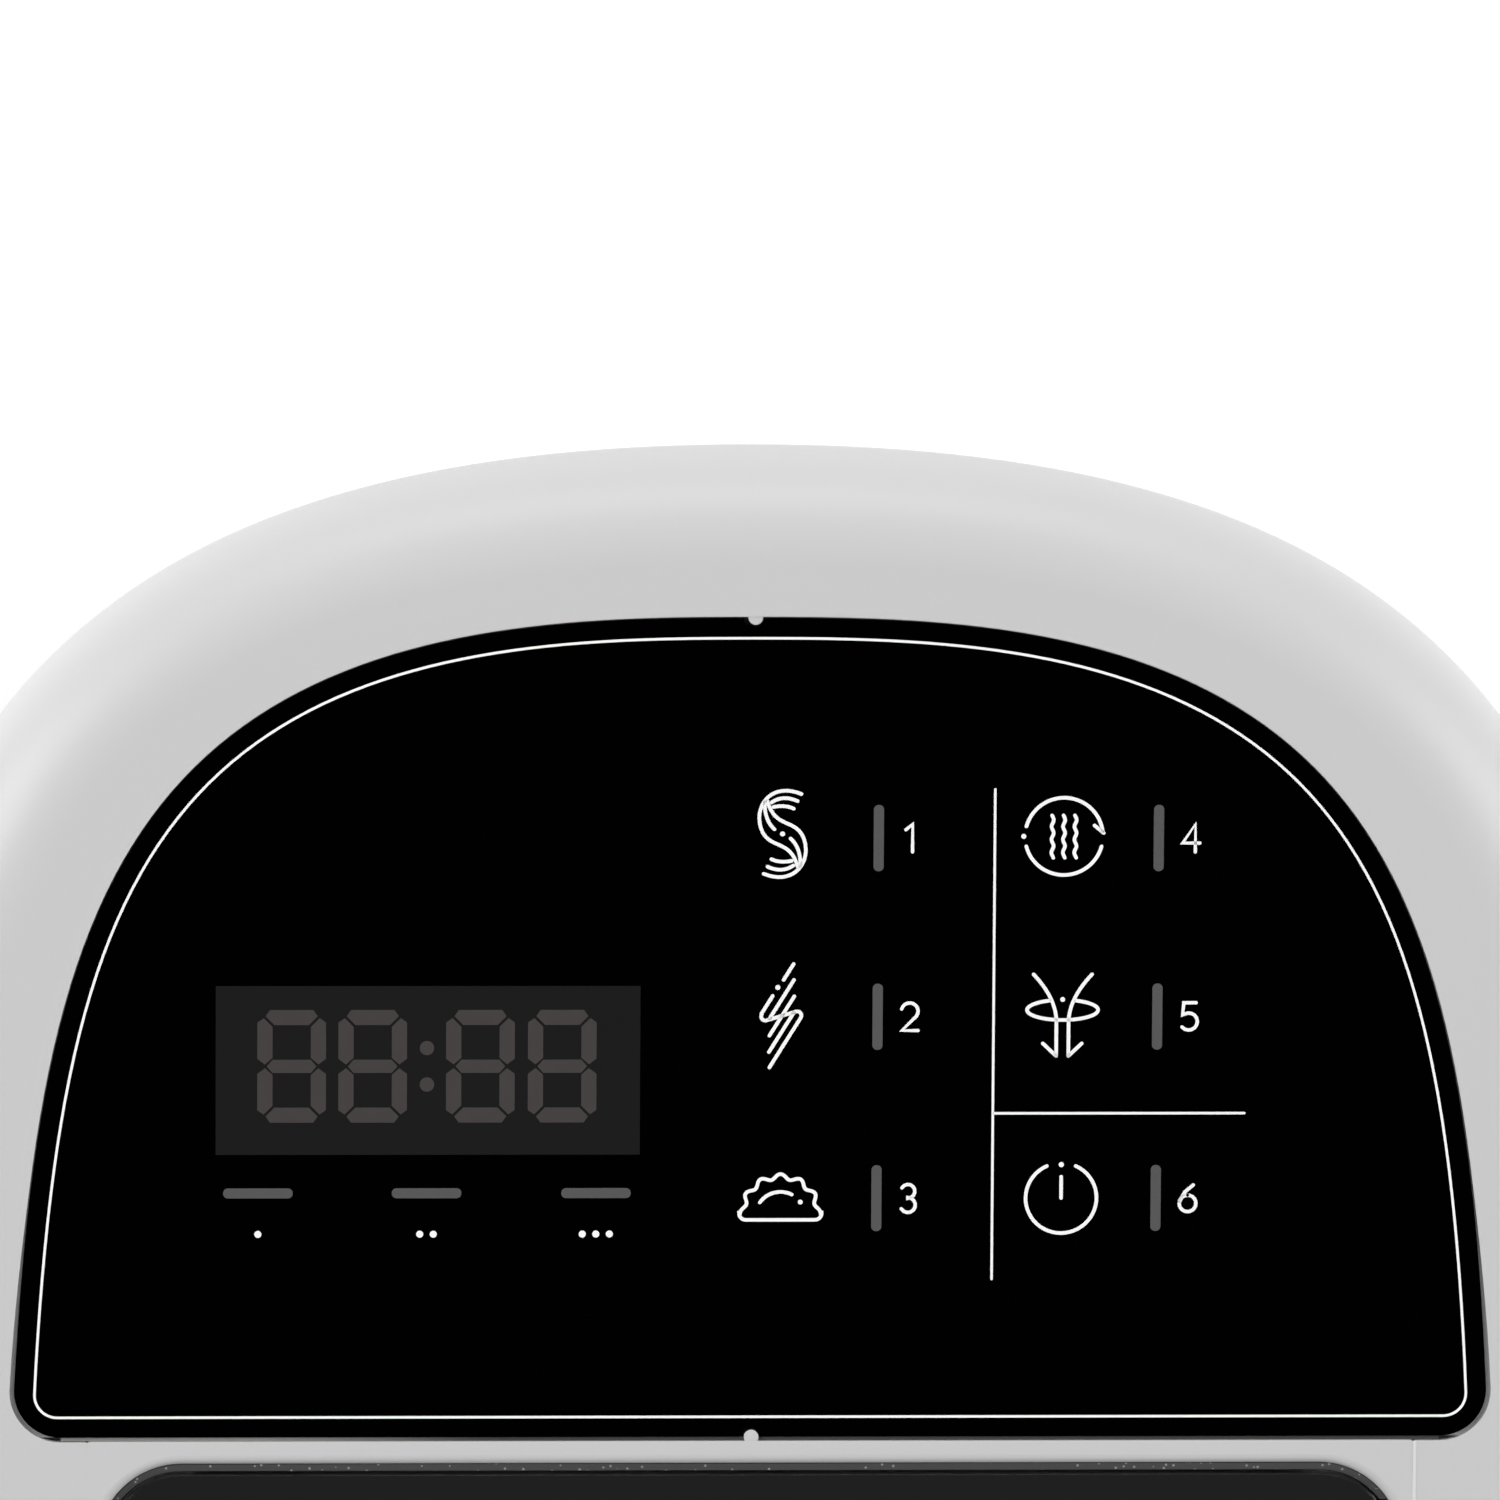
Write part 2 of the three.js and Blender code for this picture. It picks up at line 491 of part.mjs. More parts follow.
// ---------------------------------------------------------------- lid and surround
const lidSurround = () => {
  const { halfWidth, rearV, frontV, depth, cornerR } = SURROUND;
  const frame = toSolid(slab(roundedRect(-halfWidth, halfWidth, frontV, rearV, cornerR), -depth, 0));
  const [sideX, mouthRear] = [LID.halfWidth + LID_SIDE_GAP, LID.rearV + LID_REAR_GAP];
  const mouthTo = (n) => slab(roundedRect(-sideX, sideX, LID.frontV - 0.6, mouthRear, LID.cornerR), n, 5);
  const throat = slab(roundedRect(-LID_THROAT.halfWidth, LID_THROAT.halfWidth, LID_THROAT.frontV,
    mouthRear, 1.6), -20, 0);
  const swingRoom = common(mouthTo(-20), block(-sideX, sideX, LID_HINGE.v - 4, 0, -20, 5));
  const buttonWell = slab(roundedRect(-BUTTON.halfWidth - 0.4, BUTTON.halfWidth + 0.4,
    BUTTON.frontV - 0.4, BUTTON.rearV + 0.4, 3.4), -20, 5);
  const pinHole = rodX(LID_HINGE.pinR + GAP, -90, 90, LID_HINGE.v, LID_HINGE.n, 12);
  const nib = rodZ(NIB_R, -RECESS_DEPTH, -0.1, 0, rearV + 0.1, 16);
  return cut(frame, mouthTo(LID_FLOOR_N), throat, buttonWell, pinHole).subtract(swingRoom).add(toSolid(nib));
};

const lidPlate = () => {
  const { halfWidth, rearV, frontV, cornerR, thickness, topN } = LID;
  const edge = 1.2;
  const inner = roundedRect(-halfWidth + edge, halfWidth - edge, frontV + edge, rearV - edge, cornerR - edge);
  const plate = slab(inner, topN - thickness + 0.6, topN - edge, {
    bevelEnabled: true, bevelSize: edge, bevelThickness: edge, bevelSegments: 1, curveSegments: 5,
  });
  const underside = block(-200, 200, -200, 50, -20, topN - thickness);
  const fillSlots = [];
  for (let i = 0; i < FILL_SLOTS.count; i += 1) {
    const x = (i - (FILL_SLOTS.count - 1) / 2) * FILL_SLOTS.pitch;
    fillSlots.push(slab(roundedRect(x - FILL_SLOTS.halfWidth, x + FILL_SLOTS.halfWidth,
      FILL_SLOTS.frontV, FILL_SLOTS.rearV, 1.5), -10, 5, { curveSegments: 2 }));
  }
  let lid = cut(toSolid(plate), underside, ...fillSlots);
  for (const side of [-1, 1]) {
    const ends = KNUCKLE_X.map((x) => x * side).sort((a, b) => a - b);
    const bore = [KNUCKLE_X[0] + 1, 90].map((x) => x * side).sort((a, b) => a - b);
    lid = lid.add(toSolid(rodX(LID_HINGE.knuckleR, ...ends, LID_HINGE.v, LID_HINGE.n, 12)));
    lid = cut(lid, rodX(LID_HINGE.pinR + GAP, ...bore, LID_HINGE.v, LID_HINGE.n, 12));
  }
  return lid;
};

const sealRing = (outer, width, z0, z1) => {
  const shape = roundedRect(...outer, 10);
  const [x0, x1, v0, v1] = outer;
  shape.holes.push(new THREE.Path(roundedRect(x0 + width, x1 - width, v0 + width, v1 - width, 7)
    .getPoints(4).reverse()));
  return slab(shape, z0, z1, { curveSegments: 4 });
};

const addLid = () => {
  addPart("lid_surround", lidSurround(), shellPlastic, deck);
  addPart("lid", lidPlate(), smokePlastic, deck);
  addPart("lid_seal", sealRing([-72.5, 72.5, -148.5, -17], 3, -4.6, -3.5), silicone, deck);
  for (const [name, side] of [["lid_hinge_pin_left", -1], ["lid_hinge_pin_right", 1]]) {
    const ends = PIN_X.map((x) => x * side).sort((a, b) => a - b);
    addPart(name, rodX(LID_HINGE.pinR, ...ends, LID_HINGE.v, LID_HINGE.n, 12), steel, deck);
  }
  addPart("lid_release_button", slab(roundedRect(-BUTTON.halfWidth, BUTTON.halfWidth,
    BUTTON.frontV, BUTTON.rearV, 3), -8.5, -0.2, { curveSegments: 3 }), darkPlastic, deck);
  addPart("lid_safety_switch", join(block(-10, 10, -162, -152, -24, -14),
    block(-1.5, 1.5, -158, -156, -14.5, -12.2)), darkPlastic, deck);
};

// ---------------------------------------------------------------- dough tank
const doughTank = () => {
  const outer = alongY(tubShape(TANK.innerR + TANK.wall, 320), TANK.frontY, TANK.rearY,
    { curveSegments: 10 });
  const hollow = alongY(tubShape(TANK.innerR, 340), TANK.frontY + TANK.wall, TANK.rearY - TANK.wall,
    { curveSegments: 10 });
  const above = onDeck(slab(roundedRect(-200, 200, -300, 200, 1), TANK_RIM.n[1], 200));
  const rimShape = roundedRect(-TANK_RIM.x, TANK_RIM.x, ...TANK_RIM.v, TANK_RIM.cornerR);
  const rim = onDeck(slab(rimShape, ...TANK_RIM.n));
  const drainEntry = rodY(BARREL.outerR + 0.6, TANK.frontY - 2, TANK.frontY + TANK.wall + 2, 0, AXIS_Z, 36);
  const shaftHole = rodY(9, TANK.rearY - 10, TANK.rearY + 2, 0, AXIS_Z, 24);
  return cut(join(outer, rim), above, hollow, drainEntry, shaftHole);
};

const kneadingPaddle = () => {
  const arms = [];
  PADDLE.armPlaces.forEach(([y, turn]) => {
    const arm = block(-4, 4, y - 5, y + 5, 4, 58);
    const blade = block(-8, 8, y - 11, y + 11, 52, 61);
    [arm, blade].forEach((piece) => arms.push(piece.rotateY(THREE.MathUtils.degToRad(turn))));
  });
  const core = rodY(PADDLE.coreR, ...PADDLE.y, 0, 0, 20);
  const hub = rodY(PADDLE.hubR, 12, 34, 0, 0, 20);
  const socket = rodY(6.4, 24, 36, 0, 0, 6);
  return cut(join(core, hub, ...arms), socket).translate([0, 0, AXIS_Z]);
};

// single-flight screw: a core with one blade, turned steadily along its length
const augerScrew = () => {
  const { coreR, flightR, bladeHalf, turns } = AUGER;
  const [y0, y1] = AUGER.y;
  const shape = new THREE.Shape();
  for (let i = 0; i <= 7; i += 1) {
    const angle = bladeHalf + (i / 7) * (2 * Math.PI - 2 * bladeHalf);
    shape[i === 0 ? "moveTo" : "lineTo"](coreR * Math.cos(angle), coreR * Math.sin(angle));
  }
  for (const offset of [-0.55, 0, 0.55]) {
    shape.lineTo(flightR * Math.cos(offset * bladeHalf), flightR * Math.sin(offset * bladeHalf));
  }
  shape.closePath();
  const geometry = alongY(shape, y0, y1, { steps: 33 });
  const position = geometry.attributes.position;
  const spot = new THREE.Vector3();
  const yAxis = new THREE.Vector3(0, 1, 0);
  for (let i = 0; i < position.count; i += 1) {
    spot.fromBufferAttribute(position, i);
    spot.applyAxisAngle(yAxis, ((spot.y - y0) / (y1 - y0)) * turns * 2 * Math.PI);
    position.setXYZ(i, spot.x, spot.y, spot.z);
  }
  return geometry.translate(0, 0, AXIS_Z);
};

const addDoughTank = () => {
  addPart("dough_tank", doughTank(), greyPlastic);
  addPart("kneading_paddle", kneadingPaddle(), darkPlastic);
  addPart("extrusion_auger", augerScrew(), naturalPlastic);
  addPart("shaft_seal", ringY(6.4, 8.7, TANK.rearY - 3.4, TANK.rearY + 0.4, 0, AXIS_Z, 16), silicone);
  const heater = new THREE.Shape();
  const [inner, outer] = [TANK.innerR + TANK.wall + 0.6, TANK.innerR + TANK.wall + 2.2];
  const spread = THREE.MathUtils.degToRad(52);
  heater.absarc(0, 0, outer, -Math.PI / 2 - spread, -Math.PI / 2 + spread, false);
  heater.absarc(0, 0, inner, -Math.PI / 2 + spread, -Math.PI / 2 - spread, true);
  heater.closePath();
  addPart("ferment_heater", alongY(heater, -62, 24).translate(0, 0, AXIS_Z), heaterFilm);
  const tubBottom = AXIS_Z - TANK.innerR - TANK.wall;
  addPart("temperature_sensor", rodZ(4, tubBottom - 12, tubBottom - GAP, 0, -74, 16), steel);
};

// ---------------------------------------------------------------- extruder
const extrusionBarrel = () => {
  const tube = ringY(BARREL.innerR, BARREL.outerR, BARREL.frontY, TANK.frontY + TANK.wall, 0, AXIS_Z);
  const flange = ringY(BARREL.innerR + 1, BARREL.flangeR, -94, -90, 0, AXIS_Z);
  return join(tube, flange);
};

const DISC_SEAT_Y = BARREL.frontY - GAP - DISC.thickness - GAP; // seat of the shaping disc in the nut

const clampNut = () => {
  const grip = circleHole(lobedShape(NUT.outerR - 1, 1, 12, 72), BARREL.outerR + 0.6);
  const sleeve = alongY(grip, DISC_SEAT_Y - 0.1, NUT.rearY, { curveSegments: 12 });
  const lip = ringY(NUT.lipR, NUT.outerR - 3, NOSE_Y, DISC_SEAT_Y, 0, 0, 32);
  return join(sleeve, lip).translate([0, 0, AXIS_Z]);
};

const frontPlate = () => {
  const { width, height, cornerR, rearY, thickness } = FRONT_PLATE;
  const shape = roundedRect(-width / 2 + 2, width / 2 - 2, -height / 2 + 2, height / 2 - 2, cornerR - 2);
  const plate = alongY(shape, rearY - thickness + 2, rearY - 2, {
    bevelEnabled: true, bevelSize: 2, bevelThickness: 2, bevelSegments: 2, curveSegments: 6,
  });
  const bore = rodY(BARREL.outerR + 0.8, rearY - 40, rearY + 10, 0, 0, 28);
  const studBores = [-KNOB_X, KNOB_X].map((x) => rodY(4.5, rearY - 40, rearY + 10, x, 0, 16));
  return cut(toSolid(plate), bore, ...studBores).translate([0, 0, AXIS_Z]);
};

const addExtruder = () => {
  addPart("extrusion_barrel", extrusionBarrel(), alloy);
  addPart("barrel_seal", ringY(BARREL.outerR + 0.5, 40, -89.7, TANK.frontY - GAP, 0, AXIS_Z, 24), silicone);
  addPart("front_plate", frontPlate(), shellPlastic);
  const disc = alongY(shapingDisc(12, 1.7, 16, false), DISC_SEAT_Y + GAP, BARREL.frontY - GAP,
    { curveSegments: 3 });
  addPart("shaping_disc", disc.translate(0, 0, AXIS_Z), naturalPlastic);
  addPart("clamp_nut", clampNut(), darkPlastic);
  const knobRear = FRONT_PLATE.rearY - FRONT_PLATE.thickness - 0.4;
  for (const [name, x] of [["left", -KNOB_X], ["right", KNOB_X]]) {
    const stud = join(rodY(4, -147, -112, x, AXIS_Z, 16), rodY(8, -118, -112, x, AXIS_Z, 16));
    addPart(`front_stud_${name}`, stud, steel);
    const gripShape = circleHole(lobedShape(14, 1.2, 6, 30), 4.4);
    const grip = alongY(gripShape, knobRear - 14, knobRear, { curveSegments: 4 });
    const cap = rodY(12.4, knobRear - 20, knobRear - 13.9, 0, 0, 18);
    addPart(`locking_knob_${name}`, join(grip, cap).translate([x, 0, AXIS_Z]), darkPlastic);
  }
};

// ---------------------------------------------------------------- drive
const centreDistance = (GEAR_MODULE * (WHEEL_TEETH + PINION_TEETH)) / 2;
const idlerZ = AXIS_Z - Math.sqrt(centreDistance ** 2 - IDLER_X ** 2);
const motorZ = 2 * idlerZ - AXIS_Z;
const toIdler = Math.atan2(idlerZ - AXIS_Z, IDLER_X); // from the output axis to the idler axis
const toMotor = Math.atan2(motorZ - idlerZ, -IDLER_X);
const halfTooth = Math.PI / PINION_TEETH;

const turnedShape = (shape, angle) => {
  const turn = (p) => p.clone().rotateAround(new THREE.Vector2(), angle);
  const turned = new THREE.Shape(shape.getPoints(6).map(turn));
  turned.holes = shape.holes.map((hole) => new THREE.Path(hole.getPoints(6).map(turn)));
  return turned;
};

const gearBlank = (teeth, boreR, y0, y1, angle) => (
  alongY(turnedShape(gearShape(teeth, boreR), angle), y0, y1));

const addGears = () => {
  const outputGear = gearBlank(WHEEL_TEETH, 6.3, 51, 59, toIdler);
  addPart("output_gear", outputGear.translate(0, 0, AXIS_Z), naturalPlastic);
  const idlerPinion = gearBlank(PINION_TEETH, 3.3, 49, 62.5, toIdler + Math.PI + halfTooth);
  const idlerWheel = gearBlank(WHEEL_TEETH, 3.3, 62, 69, toMotor);
  addPart("intermediate_gear", join(idlerPinion, idlerWheel).translate([IDLER_X, 0, idlerZ]), naturalPlastic);
  addPart("intermediate_axle", rodY(3, 47.4, 71.4, IDLER_X, idlerZ, 16), steel);
  const motorPinion = gearBlank(PINION_TEETH, 3.3, 60.5, 70.5, toMotor + Math.PI + halfTooth);
  addPart("motor_pinion", motorPinion.translate(0, 0, motorZ), steel);
};

const coolingFan = () => {
  const hub = ringY(3.3, 9, 143, 153, 0, 0, 24);
  const blades = [];
  for (let i = 0; i < 7; i += 1) {
    const blade = new THREE.BoxGeometry(11, 1.6, 25.5).rotateZ(0.55).translate(0, 148, 19.8);
    blades.push(blade.rotateY((i / 7) * 2 * Math.PI));
  }
  return join(hub, ...blades).translate([0, 0, motorZ]);
};

const gearboxCase = () => {
  const { x, y, z, wall } = GEARBOX;
  const tray = block(...x, ...y, ...z);
  const hollow = block(x[0] + wall, x[1] - wall, y[0] + 3, y[1] + 9, z[0] + wall, z[1] - wall);
  return cut(toSolid(tray), hollow, rodY(13.3, y[0] - 4, y[0] + 6, 0, AXIS_Z, 32));
};

const gearboxCover = () => {
  const plate = block(...GEARBOX.x, GEARBOX.y[1] + GAP, GEARBOX.coverRearY, ...GEARBOX.z);
  return cut(toSolid(plate), rodY(8.3, 70, 80, 0, AXIS_Z, 24), rodY(5, 70, 80, 0, motorZ, 20));
};

const driveMotor = () => {
  const can = ringY(3.6, MOTOR.r, MOTOR.frontY + 4, MOTOR.rearY, 0, motorZ, 28);
  const flange = alongY(circleHole(roundedRect(-40, 40, -40, 40, 12), 3.6), MOTOR.frontY, MOTOR.frontY + 4.2,
    { curveSegments: 6 });
  return join(can, flange.translate(0, 0, motorZ));
};

const powerBoard = () => {
  const { x, y, z } = POWER_BOARD;
  const partsZ = z[1] - 0.2;
  const choke = block(x[0] + 6, x[0] + 26, y[0] + 6, y[0] + 26, partsZ, partsZ + 18.6);
  const capacitors = [y[1] - 20, y[1] - 8].map((at) => rodZ(7, partsZ, partsZ + 22.6, x[1] - 14, at, 16));
  const heatSink = block(x[0] + 4, x[0] + 10, y[1] - 28, y[1] - 4, partsZ, partsZ + 26.6);
  return join(block(...x, ...y, ...z), choke, heatSink, ...capacitors);
};

const addDrive = () => {
  addGears();
  addPart("output_shaft", join(rodY(6, 25, 60, 0, AXIS_Z, 6), rodY(4, 59, 79, 0, AXIS_Z, 20)), steel);
  addPart("front_bearing", ringY(6.4, 13, 44.2, 49.6, 0, AXIS_Z, 20), steel);
  addPart("rear_bearing", ringY(4.3, 8, 71.6, 76, 0, AXIS_Z, 16), steel);
  addPart("gearbox_case", gearboxCase(), alloy);
  addPart("gearbox_cover", gearboxCover(), alloy);
  addPart("drive_motor", driveMotor(), alloy);
  addPart("motor_shaft", rodY(MOTOR.shaftR, ...MOTOR.shaftY, 0, motorZ, 16), steel);
  addPart("cooling_fan", coolingFan(), darkPlastic);
  const bulkhead = block(-BULKHEAD.halfWidth, BULKHEAD.halfWidth, ...BULKHEAD.y, ...BULKHEAD.z);
  addPart("bulkhead", cut(toSolid(bulkhead), rodY(12, 30, 50, 0, AXIS_Z, 24)), greyPlastic);
  addPart("power_board", powerBoard(), boardGreen);
};

// ---------------------------------------------------------------- mains inlet
const powerInlet = () => {
  const shell = block(-INLET.halfWidth, INLET.halfWidth, ...INLET.y, ...INLET.z);
  const socket = block(-SOCKET.halfWidth, SOCKET.halfWidth, SOCKET.frontY, 180, ...SOCKET.z);
  const pins = [[-7, 41], [7, 41], [0, 46]]
    .map(([x, z]) => block(x - 1, x + 1, SOCKET.frontY - 1, 168, z - 2, z + 2));
  let inlet = cut(toSolid(shell), socket);
  pins.forEach((pin) => { inlet = inlet.add(toSolid(pin)); });
  return inlet;
};

addPart("top_cover", topCover(), shellPlastic);
addPart("upper_housing", upperHousing(), shellPlastic);
addPart("lower_housing", lowerHousing(), lowerPlastic);
addBase();
addDrawer();
addControlPanel();
addLid();
addDoughTank();
addExtruder();
addDrive();
addPart("power_inlet", powerInlet(), darkPlastic);

export default noodleMaker;
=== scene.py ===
"""Looks of the home noodle maker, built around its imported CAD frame.

Lengths are millimetres in the helpers and metres in Blender. The sloping deck has a
frame of its own: x to the right, v up the slope from the touch panel's lower edge,
and n straight out of the deck.
"""
import json
import math

import bmesh
import bpy
from mathutils import Matrix, Vector
from mathutils.geometry import tessellate_polygon


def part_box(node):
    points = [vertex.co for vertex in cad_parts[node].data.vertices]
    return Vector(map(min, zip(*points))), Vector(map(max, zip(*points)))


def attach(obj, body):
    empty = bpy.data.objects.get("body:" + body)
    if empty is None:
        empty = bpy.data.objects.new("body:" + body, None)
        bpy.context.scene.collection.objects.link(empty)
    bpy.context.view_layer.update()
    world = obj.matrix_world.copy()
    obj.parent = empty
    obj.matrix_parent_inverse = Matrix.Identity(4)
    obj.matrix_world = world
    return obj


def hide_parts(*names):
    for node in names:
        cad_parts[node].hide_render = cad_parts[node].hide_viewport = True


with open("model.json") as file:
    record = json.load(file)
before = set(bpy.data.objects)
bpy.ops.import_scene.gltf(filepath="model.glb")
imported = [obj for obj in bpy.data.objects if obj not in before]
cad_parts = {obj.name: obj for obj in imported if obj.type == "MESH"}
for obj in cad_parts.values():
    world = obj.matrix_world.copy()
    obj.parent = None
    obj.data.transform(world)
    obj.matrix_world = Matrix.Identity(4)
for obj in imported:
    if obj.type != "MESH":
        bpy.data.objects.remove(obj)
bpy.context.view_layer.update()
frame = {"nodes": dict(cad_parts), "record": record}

MM = 0.001
ON_AXIS = 0.001  # the smallest radius of a turned body, too small to see

# ------------------------------ sizes, in millimetres
# Most are the CAD's own. The touch panel's outline, its nibs and the gaps round the panel
# and the lid are measured a little finer here, for the looks.
GAP = 0.3
REAR_Y = 172.5
BODY_HALF_WIDTH = 108
BODY_FRONT_Y = -121
FRONT_CORNER_R = 26
WALL = 2.5
TOP_ROUNDING = 14
ARCH_LENGTH = 118.6
ARCH_SIDE = 13
ARCH_TOP_HANDLE = 71.7
ARCH_SIDE_HANDLE = 91.4
DECK_SLOPE = math.radians(8)
DECK_REAR_Z = 300
DECK_THICKNESS = 4.5
DECK_Y = REAR_Y - ARCH_LENGTH * math.cos(DECK_SLOPE)
DECK_Z = DECK_REAR_Z - ARCH_LENGTH * math.sin(DECK_SLOPE)
FOOT_HEIGHT = 6
SEAM_Z = 84
SEAM_GAP = 0.4
COVER_SKIRT = 22
AXIS_Z = 178

PANEL_HEIGHT = 97.75
PANEL_SPREAD = 88.72
PANEL_FALL = 30.2
PANEL_POWER = 2.71
PANEL_CORNER_R = 5.5
ARCH_CROWDING = 2.6  # how strongly the outline's points gather towards the top of the arch
PANEL_THICKNESS = 1.8
PANEL_TOP = -0.15
PANEL_GAP = 0.55
PANEL_GAP_ARCH = 0.18
GAP_LOW_V = 6
GAP_HIGH_V = 32
PANEL_LEDGE = 5
RECESS_DEPTH = 2.2
BED_TAPE_N = -0.5
NIB_R = 0.86
NOTCH_R = 1.2
NOTCH_SHIFT = -0.22
NIB_REACH = 0.05  # from the panel's edge out to the centre of a nib

SURROUND_HALF = 78.5
SURROUND_REAR = -0.5
SURROUND_FRONT = -165
SURROUND_DEPTH = 9
SURROUND_CORNER_R = 0.4
MOUTH_ROUNDING = 1.3
LID_HALF = 76.1
LID_REAR = -4.6
LID_FRONT = -152
LID_CORNER_R = 8.7
LID_TOP = -0.2
LID_THICKNESS = 3
LID_REAR_GAP = 1.27
LID_SIDE_GAP = 1.15
SEAT_N = -7.2
FILL_SLOTS = 6
FILL_PITCH = 14
FILL_FRONT = -128
FILL_REAR = -104
HINGE_V = -12.6
HINGE_N = -3.6
HINGE_PIN_R = 1.5
KNUCKLE_R = 2.8
BUTTON_HALF = 18
BUTTON_REAR = -155.4
BUTTON_FRONT = -162.3
BUTTON_GAP = 0.4
THROAT_HALF = 71
THROAT_FRONT = -147.6

BARREL_R = 30
NOSE_Y = -172.5
NUT_REAR_Y = -136
NUT_R = 42
NUT_LIP_R = 24
DISC_R = 29.4
DISC_FRONT_Y = -167.9
DISC_REAR_Y = -160.3
PLATE_REAR_Y = -121.4
PLATE_THICKNESS = 12
PLATE_HALF_WIDTH = 86
PLATE_HALF_HEIGHT = 52
PLATE_CORNER_R = 42
KNOB_X = 66

DRAWER_HALF = 74
DRAWER_LOW_Z = 12
DRAWER_HIGH_Z = 54
DRAWER_CORNER_R = 3.6
DRAWER_GAP = 0.4
INLET_HALF = 24.4
INLET_LOW_Z = 29.6
INLET_HIGH_Z = 54.4
VENT_COUNT = 7
VENT_FIRST_Y = 26
VENT_PITCH = 7
VENT_WIDTH = 3
VENT_LOW_Z = 26
VENT_HIGH_Z = 62

# ------------------------------ camera
# It looks down on the machine, with its rear at the top of the picture.
VIEW_WIDTH = 176.5
VIEW_CENTRE = 81.3
VIEW_SIDEWAYS = -0.6
VIEW_LEAN = math.radians(-2.3)
LENS = 400
SENSOR = 36

# flour dust: cells per metre, the share of a cell's width that a grain fills, and its colour
DUST_CELLS = 1100
DUST_SHARE = 0.16
DUST_COLOR = (0.35, 0.34, 0.33)
STREAK_TURN_X = -46
STREAK_BLEND = 14

deck_matrix = Matrix.Translation((0, DECK_Y, DECK_Z)) @ Matrix.Rotation(DECK_SLOPE, 4, "X")
axis_matrix = Matrix.Translation((0, 0, AXIS_Z))


def deck_z(y):
    """Height of the deck's plane at a distance y, in millimetres."""
    return DECK_Z + math.tan(DECK_SLOPE) * (y - DECK_Y)


def add_camera():
    data = bpy.data.cameras.new("camera")
    data.sensor_width = SENSOR
    data.lens = LENS
    camera = bpy.data.objects.new("camera", data)
    bpy.context.scene.collection.objects.link(camera)
    distance = VIEW_WIDTH * LENS / SENSOR
    aim_y = DECK_Y + VIEW_CENTRE
    aim = Matrix.Translation(Vector((VIEW_SIDEWAYS, aim_y, deck_z(aim_y))) * MM)
    lean = Matrix.Rotation(VIEW_LEAN, 4, "Y")
    camera.matrix_world = aim @ lean @ Matrix.Translation((0, 0, distance * MM))
    data.clip_start = 0.05
    data.clip_end = 60
    bpy.context.scene.camera = camera


add_camera()


# ------------------------------ materials
def new_material(name):
    material = bpy.data.materials.new(name)
    material.use_nodes = True
    nodes = material.node_tree.nodes
    links = material.node_tree.links
    return material, nodes, links, nodes["Principled BSDF"]


def noise_node(nodes, links, coords, scale, detail, stretch=(1, 1, 1)):
    mapping = nodes.new("ShaderNodeMapping")
    mapping.inputs["Scale"].default_value = stretch
    links.new(coords.outputs["Object"], mapping.inputs["Vector"])
    noise = nodes.new("ShaderNodeTexNoise")
    noise.inputs["Scale"].default_value = scale
    noise.inputs["Detail"].default_value = detail
    links.new(mapping.outputs["Vector"], noise.inputs["Vector"])
    return noise


def surface(name, color, roughness, metallic=0.0, vary=0.04, grain=900, bump=0.06,
            rough_vary=0.08, stretch=(1, 1, 1), transmission=0.0, ior=1.5):
    """A finish with broad colour drift, changing roughness and a fine moulded or turned grain."""
    material, nodes, links, shader = new_material(name)
    coords = nodes.new("ShaderNodeTexCoord")
    drift = noise_node(nodes, links, coords, 18, 2.0)
    tint = nodes.new("ShaderNodeMix")
    tint.data_type = "RGBA"
    tint.inputs["A"].default_value = (*[c * (1 - vary) for c in color], 1)
    tint.inputs["B"].default_value = (*[min(1, c * (1 + vary)) for c in color], 1)
    links.new(drift.outputs["Fac"], tint.inputs["Factor"])
    links.new(tint.outputs["Result"], shader.inputs["Base Color"])
    fine = noise_node(nodes, links, coords, grain, 3.0, stretch)
    spread = nodes.new("ShaderNodeMapRange")
    spread.inputs["To Min"].default_value = max(0.02, roughness - rough_vary)
    spread.inputs["To Max"].default_value = min(1.0, roughness + rough_vary)
    links.new(fine.outputs["Fac"], spread.inputs["Value"])
    links.new(spread.outputs["Result"], shader.inputs["Roughness"])
    relief = nodes.new("ShaderNodeBump")
    relief.inputs["Strength"].default_value = bump
    relief.inputs["Distance"].default_value = 0.0002
    links.new(fine.outputs["Fac"], relief.inputs["Height"])
    links.new(relief.outputs["Normal"], shader.inputs["Normal"])
    shader.inputs["Metallic"].default_value = metallic
    shader.inputs["IOR"].default_value = ior
    shader.inputs["Transmission Weight"].default_value = transmission
    return material


def overlay(material, color, share):
    """Mixes a colour over the finish, as far as the socket called share says."""
    nodes = material.node_tree.nodes
    links = material.node_tree.links
    base_color = nodes["Principled BSDF"].inputs["Base Color"]
    mix = nodes.new("ShaderNodeMix")
    mix.data_type = "RGBA"
    mix.inputs["B"].default_value = (*color, 1)
    links.new(base_color.links[0].from_socket, mix.inputs["A"])
    links.new(share, mix.inputs["Factor"])
    links.new(mix.outputs["Result"], base_color)
    return material


